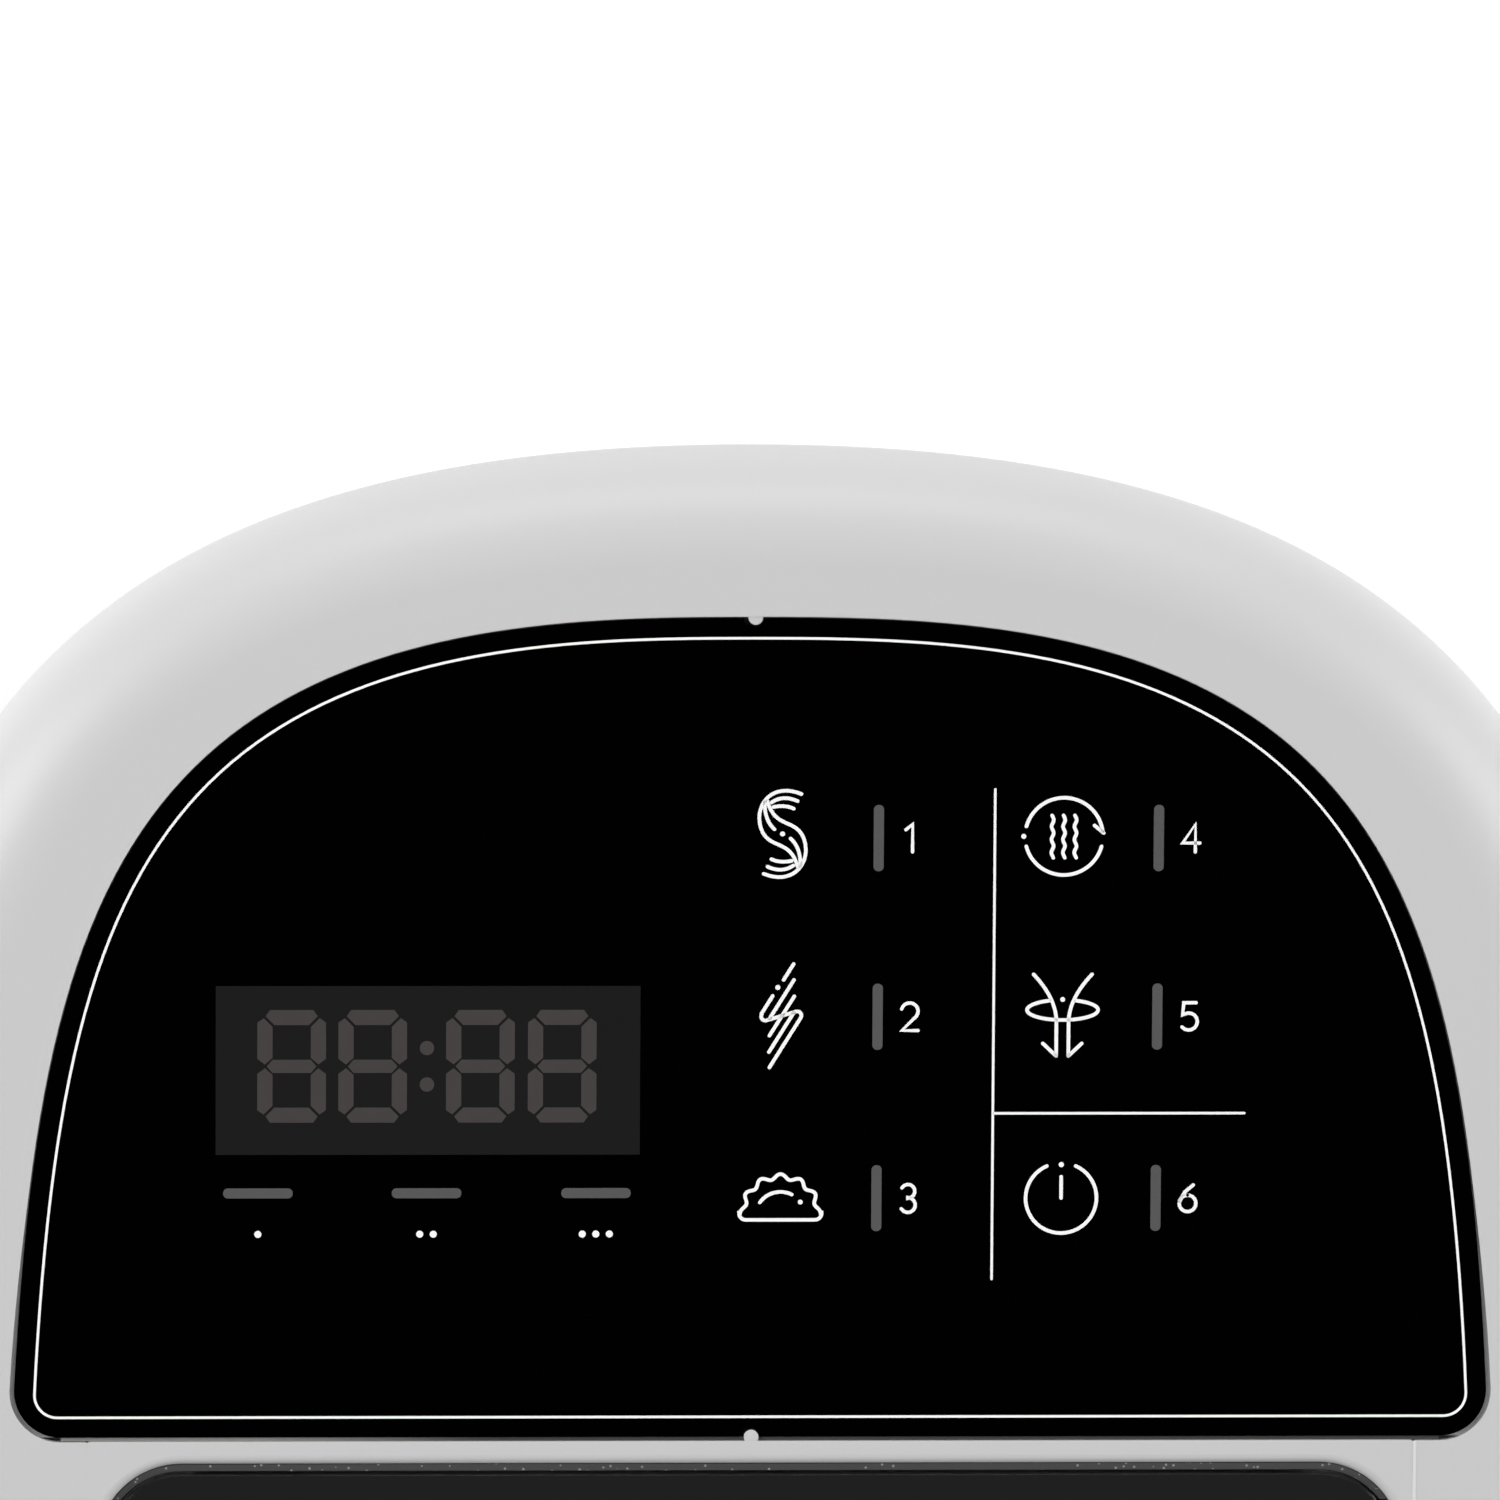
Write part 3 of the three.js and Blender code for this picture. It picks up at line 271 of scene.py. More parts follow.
def dusty(name, color, roughness):
    """A dark finish with a few pale grains of flour dust lying on it."""
    material = surface(name, color, roughness, vary=0.12, grain=800, bump=0.2)
    nodes = material.node_tree.nodes
    links = material.node_tree.links
    coords = nodes.new("ShaderNodeTexCoord")
    cells = nodes.new("ShaderNodeTexVoronoi")
    cells.inputs["Scale"].default_value = DUST_CELLS
    links.new(coords.outputs["Object"], cells.inputs["Vector"])
    grain = nodes.new("ShaderNodeMath")
    grain.operation = "LESS_THAN"
    grain.inputs[1].default_value = DUST_SHARE
    links.new(cells.outputs["Distance"], grain.inputs[0])
    return overlay(material, DUST_COLOR, grain.outputs["Value"])


def streaked(name, pale, dark, turn_x, roughness):
    """A strip that is pale and mottled to the left of turn_x and dark to the right of it."""
    material = surface(name, pale, roughness, vary=0.35, grain=1400, bump=0.4)
    nodes = material.node_tree.nodes
    links = material.node_tree.links
    coords = nodes.new("ShaderNodeTexCoord")
    split = nodes.new("ShaderNodeSeparateXYZ")
    links.new(coords.outputs["Object"], split.inputs["Vector"])
    share = nodes.new("ShaderNodeMapRange")
    share.inputs["From Min"].default_value = (turn_x - STREAK_BLEND) * MM
    share.inputs["From Max"].default_value = (turn_x + STREAK_BLEND) * MM
    links.new(split.outputs["X"], share.inputs["Value"])
    return overlay(material, dark, share.outputs["Result"])


MATERIALS = {
    "shell": surface("shell_plastic", (0.58, 0.58, 0.58), 0.42, vary=0.006, grain=1500, bump=0.05),
    # a paler grey than the shell, for the right seam bead only: a painted highlight on that hairline
    "painted_highlight_seam": surface("painted_highlight_seam_plastic", (0.7, 0.7, 0.7), 0.4, vary=0.01, grain=1500, bump=0.05),
    "lower_shell": surface("lower_shell_plastic", (0.52, 0.52, 0.525), 0.48, vary=0.01, grain=1100,
                           bump=0.12),
    "base": surface("base_plastic", (0.03, 0.03, 0.032), 0.6, vary=0.15, grain=700, bump=0.3),
    "feet": surface("foot_rubber", (0.018, 0.018, 0.018), 0.85, vary=0.2, grain=500, bump=0.35),
    "screws": surface("plated_steel", (0.55, 0.54, 0.52), 0.32, 1.0, vary=0.06, grain=700),
    "panel_glass": surface("panel_black_glass", (0.0003, 0.0003, 0.0003), 0.07, vary=0.3, grain=60,
                           bump=0.006, rough_vary=0.02),
    "touch_film": surface("touch_film", (0.3, 0.3, 0.3), 0.4),
    "circuit_board": surface("circuit_board_green", (0.02, 0.12, 0.05), 0.4, vary=0.25, grain=300),
    "display": surface("display_black", (0.014, 0.014, 0.014), 0.3),
    "diffuser": surface("milky_diffuser", (0.35, 0.35, 0.36), 0.5),
    "smoke_lid": surface("smoke_lid", (0.17, 0.17, 0.175), 0.1, vary=0.05, grain=220, bump=0.01,
                         rough_vary=0.04, transmission=0.92, ior=1.49),
    "seals": surface("silicone_grey", (0.33, 0.34, 0.35), 0.6, grain=300),
    "dark_trim": surface("dark_trim_plastic", (0.022, 0.022, 0.024), 0.42, vary=0.12, grain=1100,
                         bump=0.14),
    "tank": surface("tank_plastic", (0.25, 0.26, 0.275), 0.24, vary=0.04, grain=600, bump=0.04),
    "paddle": surface("paddle_plastic", (0.05, 0.052, 0.056), 0.38, vary=0.12, grain=900),
    "discs": surface("acetal_natural", (0.62, 0.59, 0.53), 0.36, vary=0.03, grain=700, bump=0.05),
    "gears": surface("acetal_greased", (0.58, 0.55, 0.46), 0.28, vary=0.08, grain=500),
    "heater_film": surface("heater_film_amber", (0.32, 0.13, 0.02), 0.35, vary=0.15, grain=120),
    "steel": surface("turned_steel", (0.56, 0.56, 0.57), 0.28, 1.0, vary=0.05, grain=500,
                     stretch=(6, 0.4, 6)),
    "alloy": surface("cast_alloy", (0.5, 0.51, 0.53), 0.42, 1.0, vary=0.07, grain=420, bump=0.2),
    "inner_frame": surface("inner_frame_plastic", (0.14, 0.145, 0.15), 0.5, vary=0.06, grain=800),
    "inlet": surface("inlet_thermoset", (0.012, 0.012, 0.012), 0.38, vary=0.2, grain=900, bump=0.1),
    "white_print": surface("white_print", (0.93, 0.93, 0.93), 0.45, vary=0.01, grain=900, bump=0.01),
    "grey_print": surface("grey_lamp_print", (0.089, 0.088, 0.09), 0.4, vary=0.03, grain=900,
                          bump=0.01),
    "window_print": surface("display_window_tint", (0.0125, 0.0125, 0.0128), 0.16, vary=0.05,
                            grain=300, bump=0.004, rough_vary=0.02),
    "segment_print": surface("unlit_segment", (0.055, 0.049, 0.048), 0.35, vary=0.03, grain=900,
                             bump=0.01),
    "bed_tape": surface("panel_bed_tape", (0.42, 0.41, 0.42), 0.7, vary=0.4, grain=1400, bump=0.4),
    "bed_front": streaked("panel_bed_front", (0.33, 0.325, 0.31), (0.06, 0.06, 0.058),
                          STREAK_TURN_X, 0.7),
    "dusty_gasket": dusty("lid_gasket_rubber", (0.06, 0.06, 0.06), 0.6),
}


# ------------------------------ mesh helpers
def object_from(name, verts, faces, matrix=None):
    """A mesh object with its normals facing out. Points come in millimetres."""
    matrix = matrix or Matrix.Identity(4)
    mesh = bpy.data.meshes.new(name)
    mesh.from_pydata([tuple((matrix @ Vector(p)) * MM) for p in verts], [], faces)
    model = bmesh.new()
    model.from_mesh(mesh)
    bmesh.ops.remove_doubles(model, verts=model.verts, dist=1e-7)
    bmesh.ops.recalc_face_normals(model, faces=model.faces)
    model.to_mesh(mesh)
    model.free()
    made = bpy.data.objects.new(name, mesh)
    bpy.context.scene.collection.objects.link(made)
    return made


def prism(loops, low, high):
    """Points and faces of a flat plate with an outer loop and any holes, between two heights."""
    points = [p for loop in loops for p in loop]
    count = len(points)
    triangles = tessellate_polygon([[Vector((x, y, 0)) for x, y in loop] for loop in loops])
    verts = [(x, y, low) for x, y in points] + [(x, y, high) for x, y in points]
    faces = [tuple(t) for t in triangles] + [tuple(i + count for i in t) for t in triangles]
    start = 0
    for loop in loops:
        for i in range(len(loop)):
            a = start + i
            b = start + (i + 1) % len(loop)
            faces.append((a, b, b + count, a + count))
        start += len(loop)
    return verts, faces


def loft(rings):
    """Points and faces of a body skinned over rings of equal count, closed at both ends."""
    size = len(rings[0])
    verts = [p for ring in rings for p in ring]
    faces = []
    for k in range(len(rings) - 1):
        for i in range(size):
            j = (i + 1) % size
            faces.append((k * size + i, k * size + j, (k + 1) * size + j, (k + 1) * size + i))
    faces.append(tuple(range(size)))
    faces.append(tuple(range((len(rings) - 1) * size, len(rings) * size)))
    return verts, faces


def lathe(profile, sides):
    """A turned body about Y from a profile of (radius, y) pairs that closes on itself."""
    verts = []
    for s in range(sides):
        angle = 2 * math.pi * s / sides
        verts += [(r * math.cos(angle), y, r * math.sin(angle)) for r, y in profile]
    faces = []
    count = len(profile)
    for s in range(sides):
        here = s * count
        after = (s + 1) % sides * count
        for i in range(count):
            j = (i + 1) % count
            faces.append((here + i, here + j, after + j, after + i))
    return verts, faces


def arc_points(cx, cy, r, start, end, steps):
    """Points of an arc; angles in degrees."""
    angles = [math.radians(start + (end - start) * i / steps) for i in range(steps + 1)]
    return [(cx + r * math.cos(a), cy + r * math.sin(a)) for a in angles]


def circle(cx, cy, r, steps=32):
    return arc_points(cx, cy, r, 0, 360, steps)[:-1]


def rounded_rect(x0, x1, y0, y1, r, steps=8):
    corners = ((x1 - r, y0 + r, -90), (x1 - r, y1 - r, 0), (x0 + r, y1 - r, 90), (x0 + r, y0 + r, 180))
    return [p for x, y, start in corners for p in arc_points(x, y, r, start, start + 90, steps)]


def inset(points, distance):
    """Moves each point of a counter-clockwise outline inwards."""
    moved = []
    count = len(points)
    for i in range(count):
        here = Vector(points[i])
        edge_in = (here - Vector(points[i - 1])).normalized()
        edge_out = (Vector(points[(i + 1) % count]) - here).normalized()
        middle = (edge_in + edge_out).normalized()
        widen = 1 / max(0.5, edge_in.dot(middle))
        moved.append(tuple(here + Vector((-middle.y, middle.x)) * distance * widen))
    return moved


def cubic(a, b, c, d, steps):
    """Points of a curve from a to d that is drawn towards b and c."""
    points = []
    for i in range(steps + 1):
        t = i / steps
        s = 1 - t
        weights = (s ** 3, 3 * s * s * t, 3 * s * t * t, t ** 3)
        points.append(tuple(sum(w * p[k] for w, p in zip(weights, (a, b, c, d))) for k in (0, 1)))
    return points


FLIP_TO_Y = Matrix.Rotation(math.radians(90), 4, "X")  # plate drawn in X-Y, standing in X-Z


def along_y(loops, y0, y1):
    """A plate whose outline lies in X-Z, from y0 to y1."""
    verts, faces = prism(loops, -y1, -y0)
    return [tuple(FLIP_TO_Y @ Vector(p)) for p in verts], faces


def joined(*parts):
    """Several point-and-face bodies as one list, still separate bodies."""
    verts = []
    faces = []
    for part_verts, part_faces in parts:
        start = len(verts)
        verts += part_verts
        faces += [tuple(i + start for i in face) for face in part_faces]
    return verts, faces


def bake(piece):
    """Applies the piece's modifiers."""
    graph = bpy.context.evaluated_depsgraph_get()
    mesh = bpy.data.meshes.new_from_object(piece.evaluated_get(graph))
    old = piece.data
    piece.modifiers.clear()
    piece.data = mesh
    bpy.data.meshes.remove(old)


def carve(piece, *tools, operation="DIFFERENCE"):
    """Cuts the tools from the piece, or joins them to it, and deletes the tools."""
    for tool in tools:
        modifier = piece.modifiers.new("carve", "BOOLEAN")
        modifier.operation = operation
        modifier.solver = "EXACT"
        modifier.object = tool
        bake(piece)
        bpy.data.objects.remove(tool)


def add_bevel(piece, width, segments, angle):
    """A modifier that rounds the edges where the surface turns by more than angle degrees."""
    bevel = piece.modifiers.new("bevel", "BEVEL")
    bevel.width = width * MM
    bevel.segments = segments
    bevel.limit_method = "ANGLE"
    bevel.angle_limit = math.radians(angle)
    bevel.use_clamp_overlap = True


def soften(piece, width, segments=3, angle=40):
    """Rounds the piece's hard edges by width millimetres and shades the rest smooth."""
    if width > 0:
        add_bevel(piece, width, segments, angle)
        bake(piece)
    piece.data.shade_smooth()
    piece.data.set_sharp_from_angle(angle=math.radians(angle))
    weighted = piece.modifiers.new("weighted", "WEIGHTED_NORMAL")
    weighted.keep_sharp = True
    bake(piece)


def finish(piece, body, slot, replaced=(), finish_name=None):
    """Gives the piece its material, its body, and the CAD nodes it stands for."""
    piece.data.materials.clear()
    piece.data.materials.append(MATERIALS[finish_name or slot])
    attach(piece, body)
    if replaced:
        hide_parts(*replaced)


# ------------------------------ outlines
def plan_y(v):
    """The y of a place that lies v up the slope."""
    return DECK_Y + v * math.cos(DECK_SLOPE)


def body_outline():
    """The machine from above: rounded front corners, straight sides and an arch at the rear."""
    corner_x = BODY_HALF_WIDTH - FRONT_CORNER_R
    corner_y = BODY_FRONT_Y + FRONT_CORNER_R
    left = arc_points(-corner_x, corner_y, FRONT_CORNER_R, 180, 270, 20)
    right = arc_points(corner_x, corner_y, FRONT_CORNER_R, -90, 0, 20)
    side = (BODY_HALF_WIDTH, plan_y(ARCH_SIDE))
    side_handle = (BODY_HALF_WIDTH, plan_y(ARCH_SIDE_HANDLE))
    arch = cubic(side, side_handle, (ARCH_TOP_HANDLE, REAR_Y), (0, REAR_Y), 60)
    mirrored = [(-x, y) for x, y in arch[-2::-1]]
    return left + right + arch + mirrored


def panel_half_width(v):
    """Half the touch panel's width: near its full spread low down, closing to the arch's top."""
    down = max(0.0, PANEL_HEIGHT - v)
    return PANEL_SPREAD * (1 - math.exp(-down / PANEL_FALL)) ** (1 / PANEL_POWER)


def panel_outline(grow=0.0, corner_r=None):
    """The touch panel's outline grown outwards by grow millimetres."""
    steps = 64
    radius = PANEL_CORNER_R + grow if corner_r is None else corner_r
    side_x = panel_half_width(PANEL_CORNER_R) + grow
    low_v = radius - grow
    points = arc_points(side_x - radius, low_v, radius, -90, 0, 12)
    step = 0.05
    for i in range(1, steps):
        v = low_v + (PANEL_HEIGHT - low_v) * (1 - (1 - i / steps) ** ARCH_CROWDING)
        slope = (panel_half_width(v - step) - panel_half_width(v + step)) / (2 * step)
        normal = Vector((1, slope)).normalized()
        points.append((panel_half_width(v) + normal.x * grow, v + normal.y * grow))
    mirrored = [(-x, y) for x, y in reversed(points)]
    return points + [(0, PANEL_HEIGHT + grow)] + mirrored


def recess_outline(ease=0.0):
    """Round the panel with a gap that is wide at the lower corners and closes towards the arch."""
    outline = []
    for wide, tight in zip(panel_outline(PANEL_GAP + ease), panel_outline(PANEL_GAP_ARCH + ease)):
        share = min(1.0, max(0.0, (tight[1] - GAP_LOW_V) / (GAP_HIGH_V - GAP_LOW_V)))
        share = share * share * (3 - 2 * share)
        outline.append(tuple(w + (t - w) * share for w, t in zip(wide, tight)))
    return outline


# ------------------------------ housings
def flat_ring(points, z):
    return [(x, y, z) for x, y in points]


def sloped_ring(points, drop):
    """A ring that lies a drop below the deck's plane."""
    return [(x, y, deck_z(y) - drop) for x, y in points]


def cover_rings(wall, rounding, drop):
    """Rings of the top cover's skin, from its skirt over the rounded edge to the deck."""
    steps = 14
    outline = inset(body_outline(), wall)
    rings = [sloped_ring(outline, COVER_SKIRT)]
    for k in range(steps + 1):
        angle = math.pi / 2 * k / steps
        ring = inset(outline, rounding * (1 - math.cos(angle)))
        rings.append(sloped_ring(ring, drop + rounding * (1 - math.sin(angle))))
    return rings


def hollow_body(outer, inner, closed_top):
    """A wall between two stacks of rings, with its rims joined and its top closed or open."""
    outer_verts, outer_faces = loft(outer)
    inner_verts, inner_faces = loft(inner)
    for skin in (outer_faces, inner_faces):  # the last two faces are the bottom and the top
        del skin[-2]
        if not closed_top:
            del skin[-1]
    verts, faces = joined((outer_verts, outer_faces), (inner_verts, inner_faces))
    size = len(outer[0])
    rims = [0] if closed_top else [0, len(outer_verts) - size]
    for rim in rims:
        inner_rim = len(outer_verts) + (0 if rim == 0 else len(inner_verts) - size)
        for i in range(size):
            j = (i + 1) % size
            faces.append((rim + i, rim + j, inner_rim + j, inner_rim + i))
    return verts, faces


def deck_plate(name, loops, low, high):
    """A plate drawn in the deck's own frame."""
    return object_from(name, *prism(loops, low, high), deck_matrix)


# cutters reach well past what they cut
def deck_tool(loop, low, high):
    return deck_plate("tool", [loop], low, high)


def box_tool(x0, x1, y0, y1, z0, z1):
    return object_from("tool", *prism([[(x0, y0), (x1, y0), (x1, y1), (x0, y1)]], z0, z1))


def rod_tool(r, y0, y1, x, z):
    return object_from("tool", *along_y([circle(x, z, r, 48)], y0, y1))


def make_top_cover():
    outer = cover_rings(0, TOP_ROUNDING, 0)
    inner = cover_rings(WALL, TOP_ROUNDING - WALL, DECK_THICKNESS)
    piece = object_from("top_cover_shell", *hollow_body(outer, inner, closed_top=True))
    mouth = rounded_rect(-SURROUND_HALF - GAP, SURROUND_HALF + GAP,
                         SURROUND_FRONT - GAP, SURROUND_REAR + GAP, SURROUND_CORNER_R + GAP)
    carve(piece, deck_tool(recess_outline(), -RECESS_DEPTH, 30),
          deck_tool(panel_outline(-PANEL_LEDGE), -30, 5), deck_tool(mouth, -20, 30))
    soften(piece, 0.35)
    finish(piece, "root", "shell", ["top_cover"])


def make_upper_housing():
    outline = body_outline()
    inside = inset(outline, WALL)
    stacks = [[flat_ring(points, SEAM_Z + SEAM_GAP), sloped_ring(points, COVER_SKIRT + SEAM_GAP)]
              for points in (outline, inside)]
    piece = object_from("housing_upper", *hollow_body(*stacks, closed_top=False))
    carve(piece, rod_tool(BARREL_R + 1, BODY_FRONT_Y - 5, -110, 0, AXIS_Z),
          *[rod_tool(4.4, BODY_FRONT_Y - 5, -110, x, AXIS_Z) for x in (-KNOB_X, KNOB_X)])
    soften(piece, 0.4)
    finish(piece, "root", "shell", ["upper_housing"])


def make_lower_housing():
    outer = body_outline()
    walls = [outer, inset(outer, WALL)[::-1]]
    piece = object_from("housing_lower", *prism(walls, FOOT_HEIGHT, SEAM_Z))
    drawer_half = DRAWER_HALF + DRAWER_GAP
    opening = rounded_rect(-drawer_half, drawer_half, DRAWER_LOW_Z - DRAWER_GAP,
                           DRAWER_HIGH_Z + DRAWER_GAP, DRAWER_CORNER_R + DRAWER_GAP)
    carve(piece, object_from("tool", *along_y([opening], BODY_FRONT_Y - 1, BODY_FRONT_Y + 6)),
          box_tool(-INLET_HALF, INLET_HALF, REAR_Y - 22.5, REAR_Y + 1, INLET_LOW_Z, INLET_HIGH_Z))
    for i in range(VENT_COUNT):
        y = VENT_FIRST_Y + i * VENT_PITCH
        carve(piece, box_tool(-200, 200, y, y + VENT_WIDTH, VENT_LOW_Z, VENT_HIGH_Z))
    soften(piece, 0.5)
    finish(piece, "root", "lower_shell", ["lower_housing"])


def make_nibs():
    """Half-round locating nibs that reach into the touch panel's notches."""
    for name, v in (("panel_nib_rear", PANEL_HEIGHT + NIB_REACH), ("panel_nib_front", -NIB_REACH)):
        piece = deck_plate(name, [circle(0, v, NIB_R)], -RECESS_DEPTH, -0.1)
        soften(piece, 0.25)
        finish(piece, "root", "shell")


# ------------------------------ lid
def clipped_above(outline, v):
    """The part of a convex outline above a height v."""
    kept = []
    for i, (x1, v1) in enumerate(outline):
        x0, v0 = outline[i - 1]
        if (v0 < v) != (v1 < v):
            share = (v - v0) / (v1 - v0)
            kept.append((x0 + (x1 - x0) * share, v))
        if v1 >= v:
            kept.append((x1, v1))
    return kept


def surround_outline(grow):
    """Its rear edge stays put, as the front side of the gap below the touch panel."""
    return rounded_rect(-SURROUND_HALF - grow, SURROUND_HALF + grow, SURROUND_FRONT - grow,
                        SURROUND_REAR, SURROUND_CORNER_R + grow)


def mouth_outline(grow=0.0):
    side = LID_HALF + LID_SIDE_GAP + grow
    return rounded_rect(-side, side, LID_FRONT - 0.6 - grow, LID_REAR + LID_REAR_GAP + grow,
                        LID_CORNER_R + LID_SIDE_GAP + grow, 16)


def mouth_tool():
    """Cuts the lid's seat, with a softly rounded upper edge."""
    rings = [[(x, v, SEAT_N) for x, v in mouth_outline()]]
    steps = 10
    for k in range(steps + 1):
        angle = math.pi / 2 * k / steps
        grow = MOUTH_ROUNDING * (1 - math.cos(angle))
        height = MOUTH_ROUNDING * (math.sin(angle) - 1)
        rings.append([(x, v, height) for x, v in mouth_outline(grow)])
    rings.append([(x, v, 5) for x, v in mouth_outline(MOUTH_ROUNDING + 0.2)])
    return object_from("tool", *loft(rings), deck_matrix)


def make_lid_surround():
    """The frame round the lid; below a fine groove it fills the opening in the top cover."""
    full = GAP - 0.02
    narrow = 0.16
    heights = ((-SURROUND_DEPTH, full), (-0.04, full), (-0.02, narrow), (0, narrow))
    rings = [[(x, v, n) for x, v in surround_outline(grow)] for n, grow in heights]
    piece = object_from("lid_surround_frame", *loft(rings), deck_matrix)
    throat = rounded_rect(-THROAT_HALF, THROAT_HALF, THROAT_FRONT, LID_REAR + 0.9, 1.6)
    bay = clipped_above(mouth_outline(), HINGE_V - 4)
    well = rounded_rect(-BUTTON_HALF - BUTTON_GAP, BUTTON_HALF + BUTTON_GAP,
                        BUTTON_FRONT - BUTTON_GAP, BUTTON_REAR + BUTTON_GAP, 3.4)
    carve(piece, mouth_tool(), deck_tool(throat, -20, -1), deck_tool(bay, -20, -3),
          deck_tool(well, -20, 5))
    soften(piece, 0.1, 2)
    finish(piece, "root", "shell", ["lid_surround"])


def make_seam_beads():
    """The surround's side edges: flush on the left, and on the right raised to a hairline whose paler
    colour is a painted highlight.
    """
    for name, side, top, finish_name in (("surround_seam_left", -1, -0.01, "shell"),
                                         # the right bead's paler finish is a painted highlight, the
                                         # left bead keeps the shell's colour
                                         ("surround_seam_right", 1, 0.05, "painted_highlight_seam")):
        x = side * (SURROUND_HALF + GAP - 0.07)
        corners = rounded_rect(x - 0.2, x + 0.2, SURROUND_FRONT, SURROUND_REAR - 0.1, 0.05, 2)
        piece = deck_plate(name, [corners], -0.3, top)
        soften(piece, 0.06, 2)
        finish(piece, "root", "shell", (), finish_name)


def make_lid_gasket():
    """A soft dark lip that closes the gap round the lid, open where the lid swings through it."""
    clear = 0.42
    inner = rounded_rect(-LID_HALF - clear, LID_HALF + clear, LID_FRONT - clear, LID_REAR + clear,
                         LID_CORNER_R + 0.4, 16)
    piece = deck_plate("lid_gasket_lip", [mouth_outline(-0.02), inner[::-1]], -1.35, -0.9)
    front = -13.4
    rear = -7.8
    for x in (-LID_HALF, LID_HALF):
        opening = [(x - 4, front), (x + 4, front), (x + 4, rear), (x - 4, rear)]
        carve(piece, deck_tool(opening, -5, 5))
    soften(piece, 0.08, 2)
    finish(piece, "root", "seals", (), "dusty_gasket")


def make_lid():
    outline = rounded_rect(-LID_HALF, LID_HALF, LID_FRONT, LID_REAR, LID_CORNER_R, 16)
    low = LID_TOP - LID_THICKNESS
    edge = 0.06
    rings = [[(x, v, low) for x, v in inset(outline, edge)], [(x, v, low + edge) for x, v in outline]]
    for k in range(5):
        angle = math.pi / 2 * k / 4
        ring = inset(outline, edge * (1 - math.cos(angle)))
        rings.append([(x, v, LID_TOP - edge * (1 - math.sin(angle))) for x, v in ring])
    piece = object_from("lid_smoke_panel", *loft(rings), deck_matrix)
    for i in range(FILL_SLOTS):
        x = FILL_PITCH * (i - (FILL_SLOTS - 1) / 2)
        slot = rounded_rect(x - 1.6, x + 1.6, FILL_FRONT, FILL_REAR, 1.5, 6)
        carve(piece, deck_tool(slot, -10, 5))
    soften(piece, 0.2, 2, 50)
    finish(piece, "lid", "smoke_lid", ["lid"])


def make_lid_knuckles():
    """Hinge knuckles under the lid's rear edge, each on a web that hangs from the lid."""
    low = LID_TOP - LID_THICKNESS
    for name, x0, x1 in (("lid_knuckle_left", -66, -54), ("lid_knuckle_right", 54, 66)):
        profile = arc_points(HINGE_V, HINGE_N, KNUCKLE_R, 180, 360, 24)
        profile += [(HINGE_V + KNUCKLE_R, low - 0.02), (HINGE_V - KNUCKLE_R, low - 0.02)]
        bore = circle(HINGE_V, HINGE_N, HINGE_PIN_R + GAP, 24)
        verts, faces = prism([profile, bore[::-1]], x0, x1)
        turned = [(z, v, n) for v, n, z in verts]
        piece = object_from(name, turned, faces, deck_matrix)
        soften(piece, 0.2)
        finish(piece, "lid", "dark_trim")


def make_release_button():
    outline = rounded_rect(-BUTTON_HALF, BUTTON_HALF, BUTTON_FRONT, BUTTON_REAR, 3)
    piece = deck_plate("release_button_cap", [outline], -8.5, -0.2)
    for x in (-8, -4, 0, 4, 8):
        groove = rounded_rect(x - 0.6, x + 0.6, BUTTON_FRONT + 1.6, BUTTON_REAR - 1.6, 0.55, 5)
        carve(piece, deck_tool(groove, -0.7, 5))
    soften(piece, 0.3)
    finish(piece, "release_button", "dark_trim", ["lid_release_button"])


# ------------------------------ touch panel
def make_panel():
    piece = deck_plate("touch_panel_plate", [panel_outline()], PANEL_TOP - PANEL_THICKNESS,
                       PANEL_TOP)
    for v in (PANEL_HEIGHT + NIB_REACH, -NIB_REACH):
        carve(piece, deck_tool(circle(NOTCH_SHIFT, v, NOTCH_R), -5, 5))
    soften(piece, 0.2)
    finish(piece, "root", "panel_glass", ["touch_panel"])


def make_bed_tape():
    """The rough adhesive that fills the gap round the touch panel to just below its face."""
    outer = recess_outline(-0.02)
    inner = panel_outline(0.04)
    half = panel_half_width(PANEL_CORNER_R)
    front = [(-half, -2), (half, -2), (half, -0.02), (-half, -0.02)]
    piece = deck_plate("panel_bed_tape", [outer, inner[::-1]], -RECESS_DEPTH, BED_TAPE_N)
    carve(piece, deck_tool(front, -5, 5))
    soften(piece, 0)
    finish(piece, "root", "touch_film", (), "bed_tape")
    end = half - PANEL_CORNER_R
    strip = [(-end, SURROUND_REAR + 0.02), (end, SURROUND_REAR + 0.02), (end, -0.04), (-end, -0.04)]
    piece = deck_plate("panel_bed_front", [strip], -RECESS_DEPTH, BED_TAPE_N)
    soften(piece, 0)
    finish(piece, "root", "touch_film", (), "bed_front")


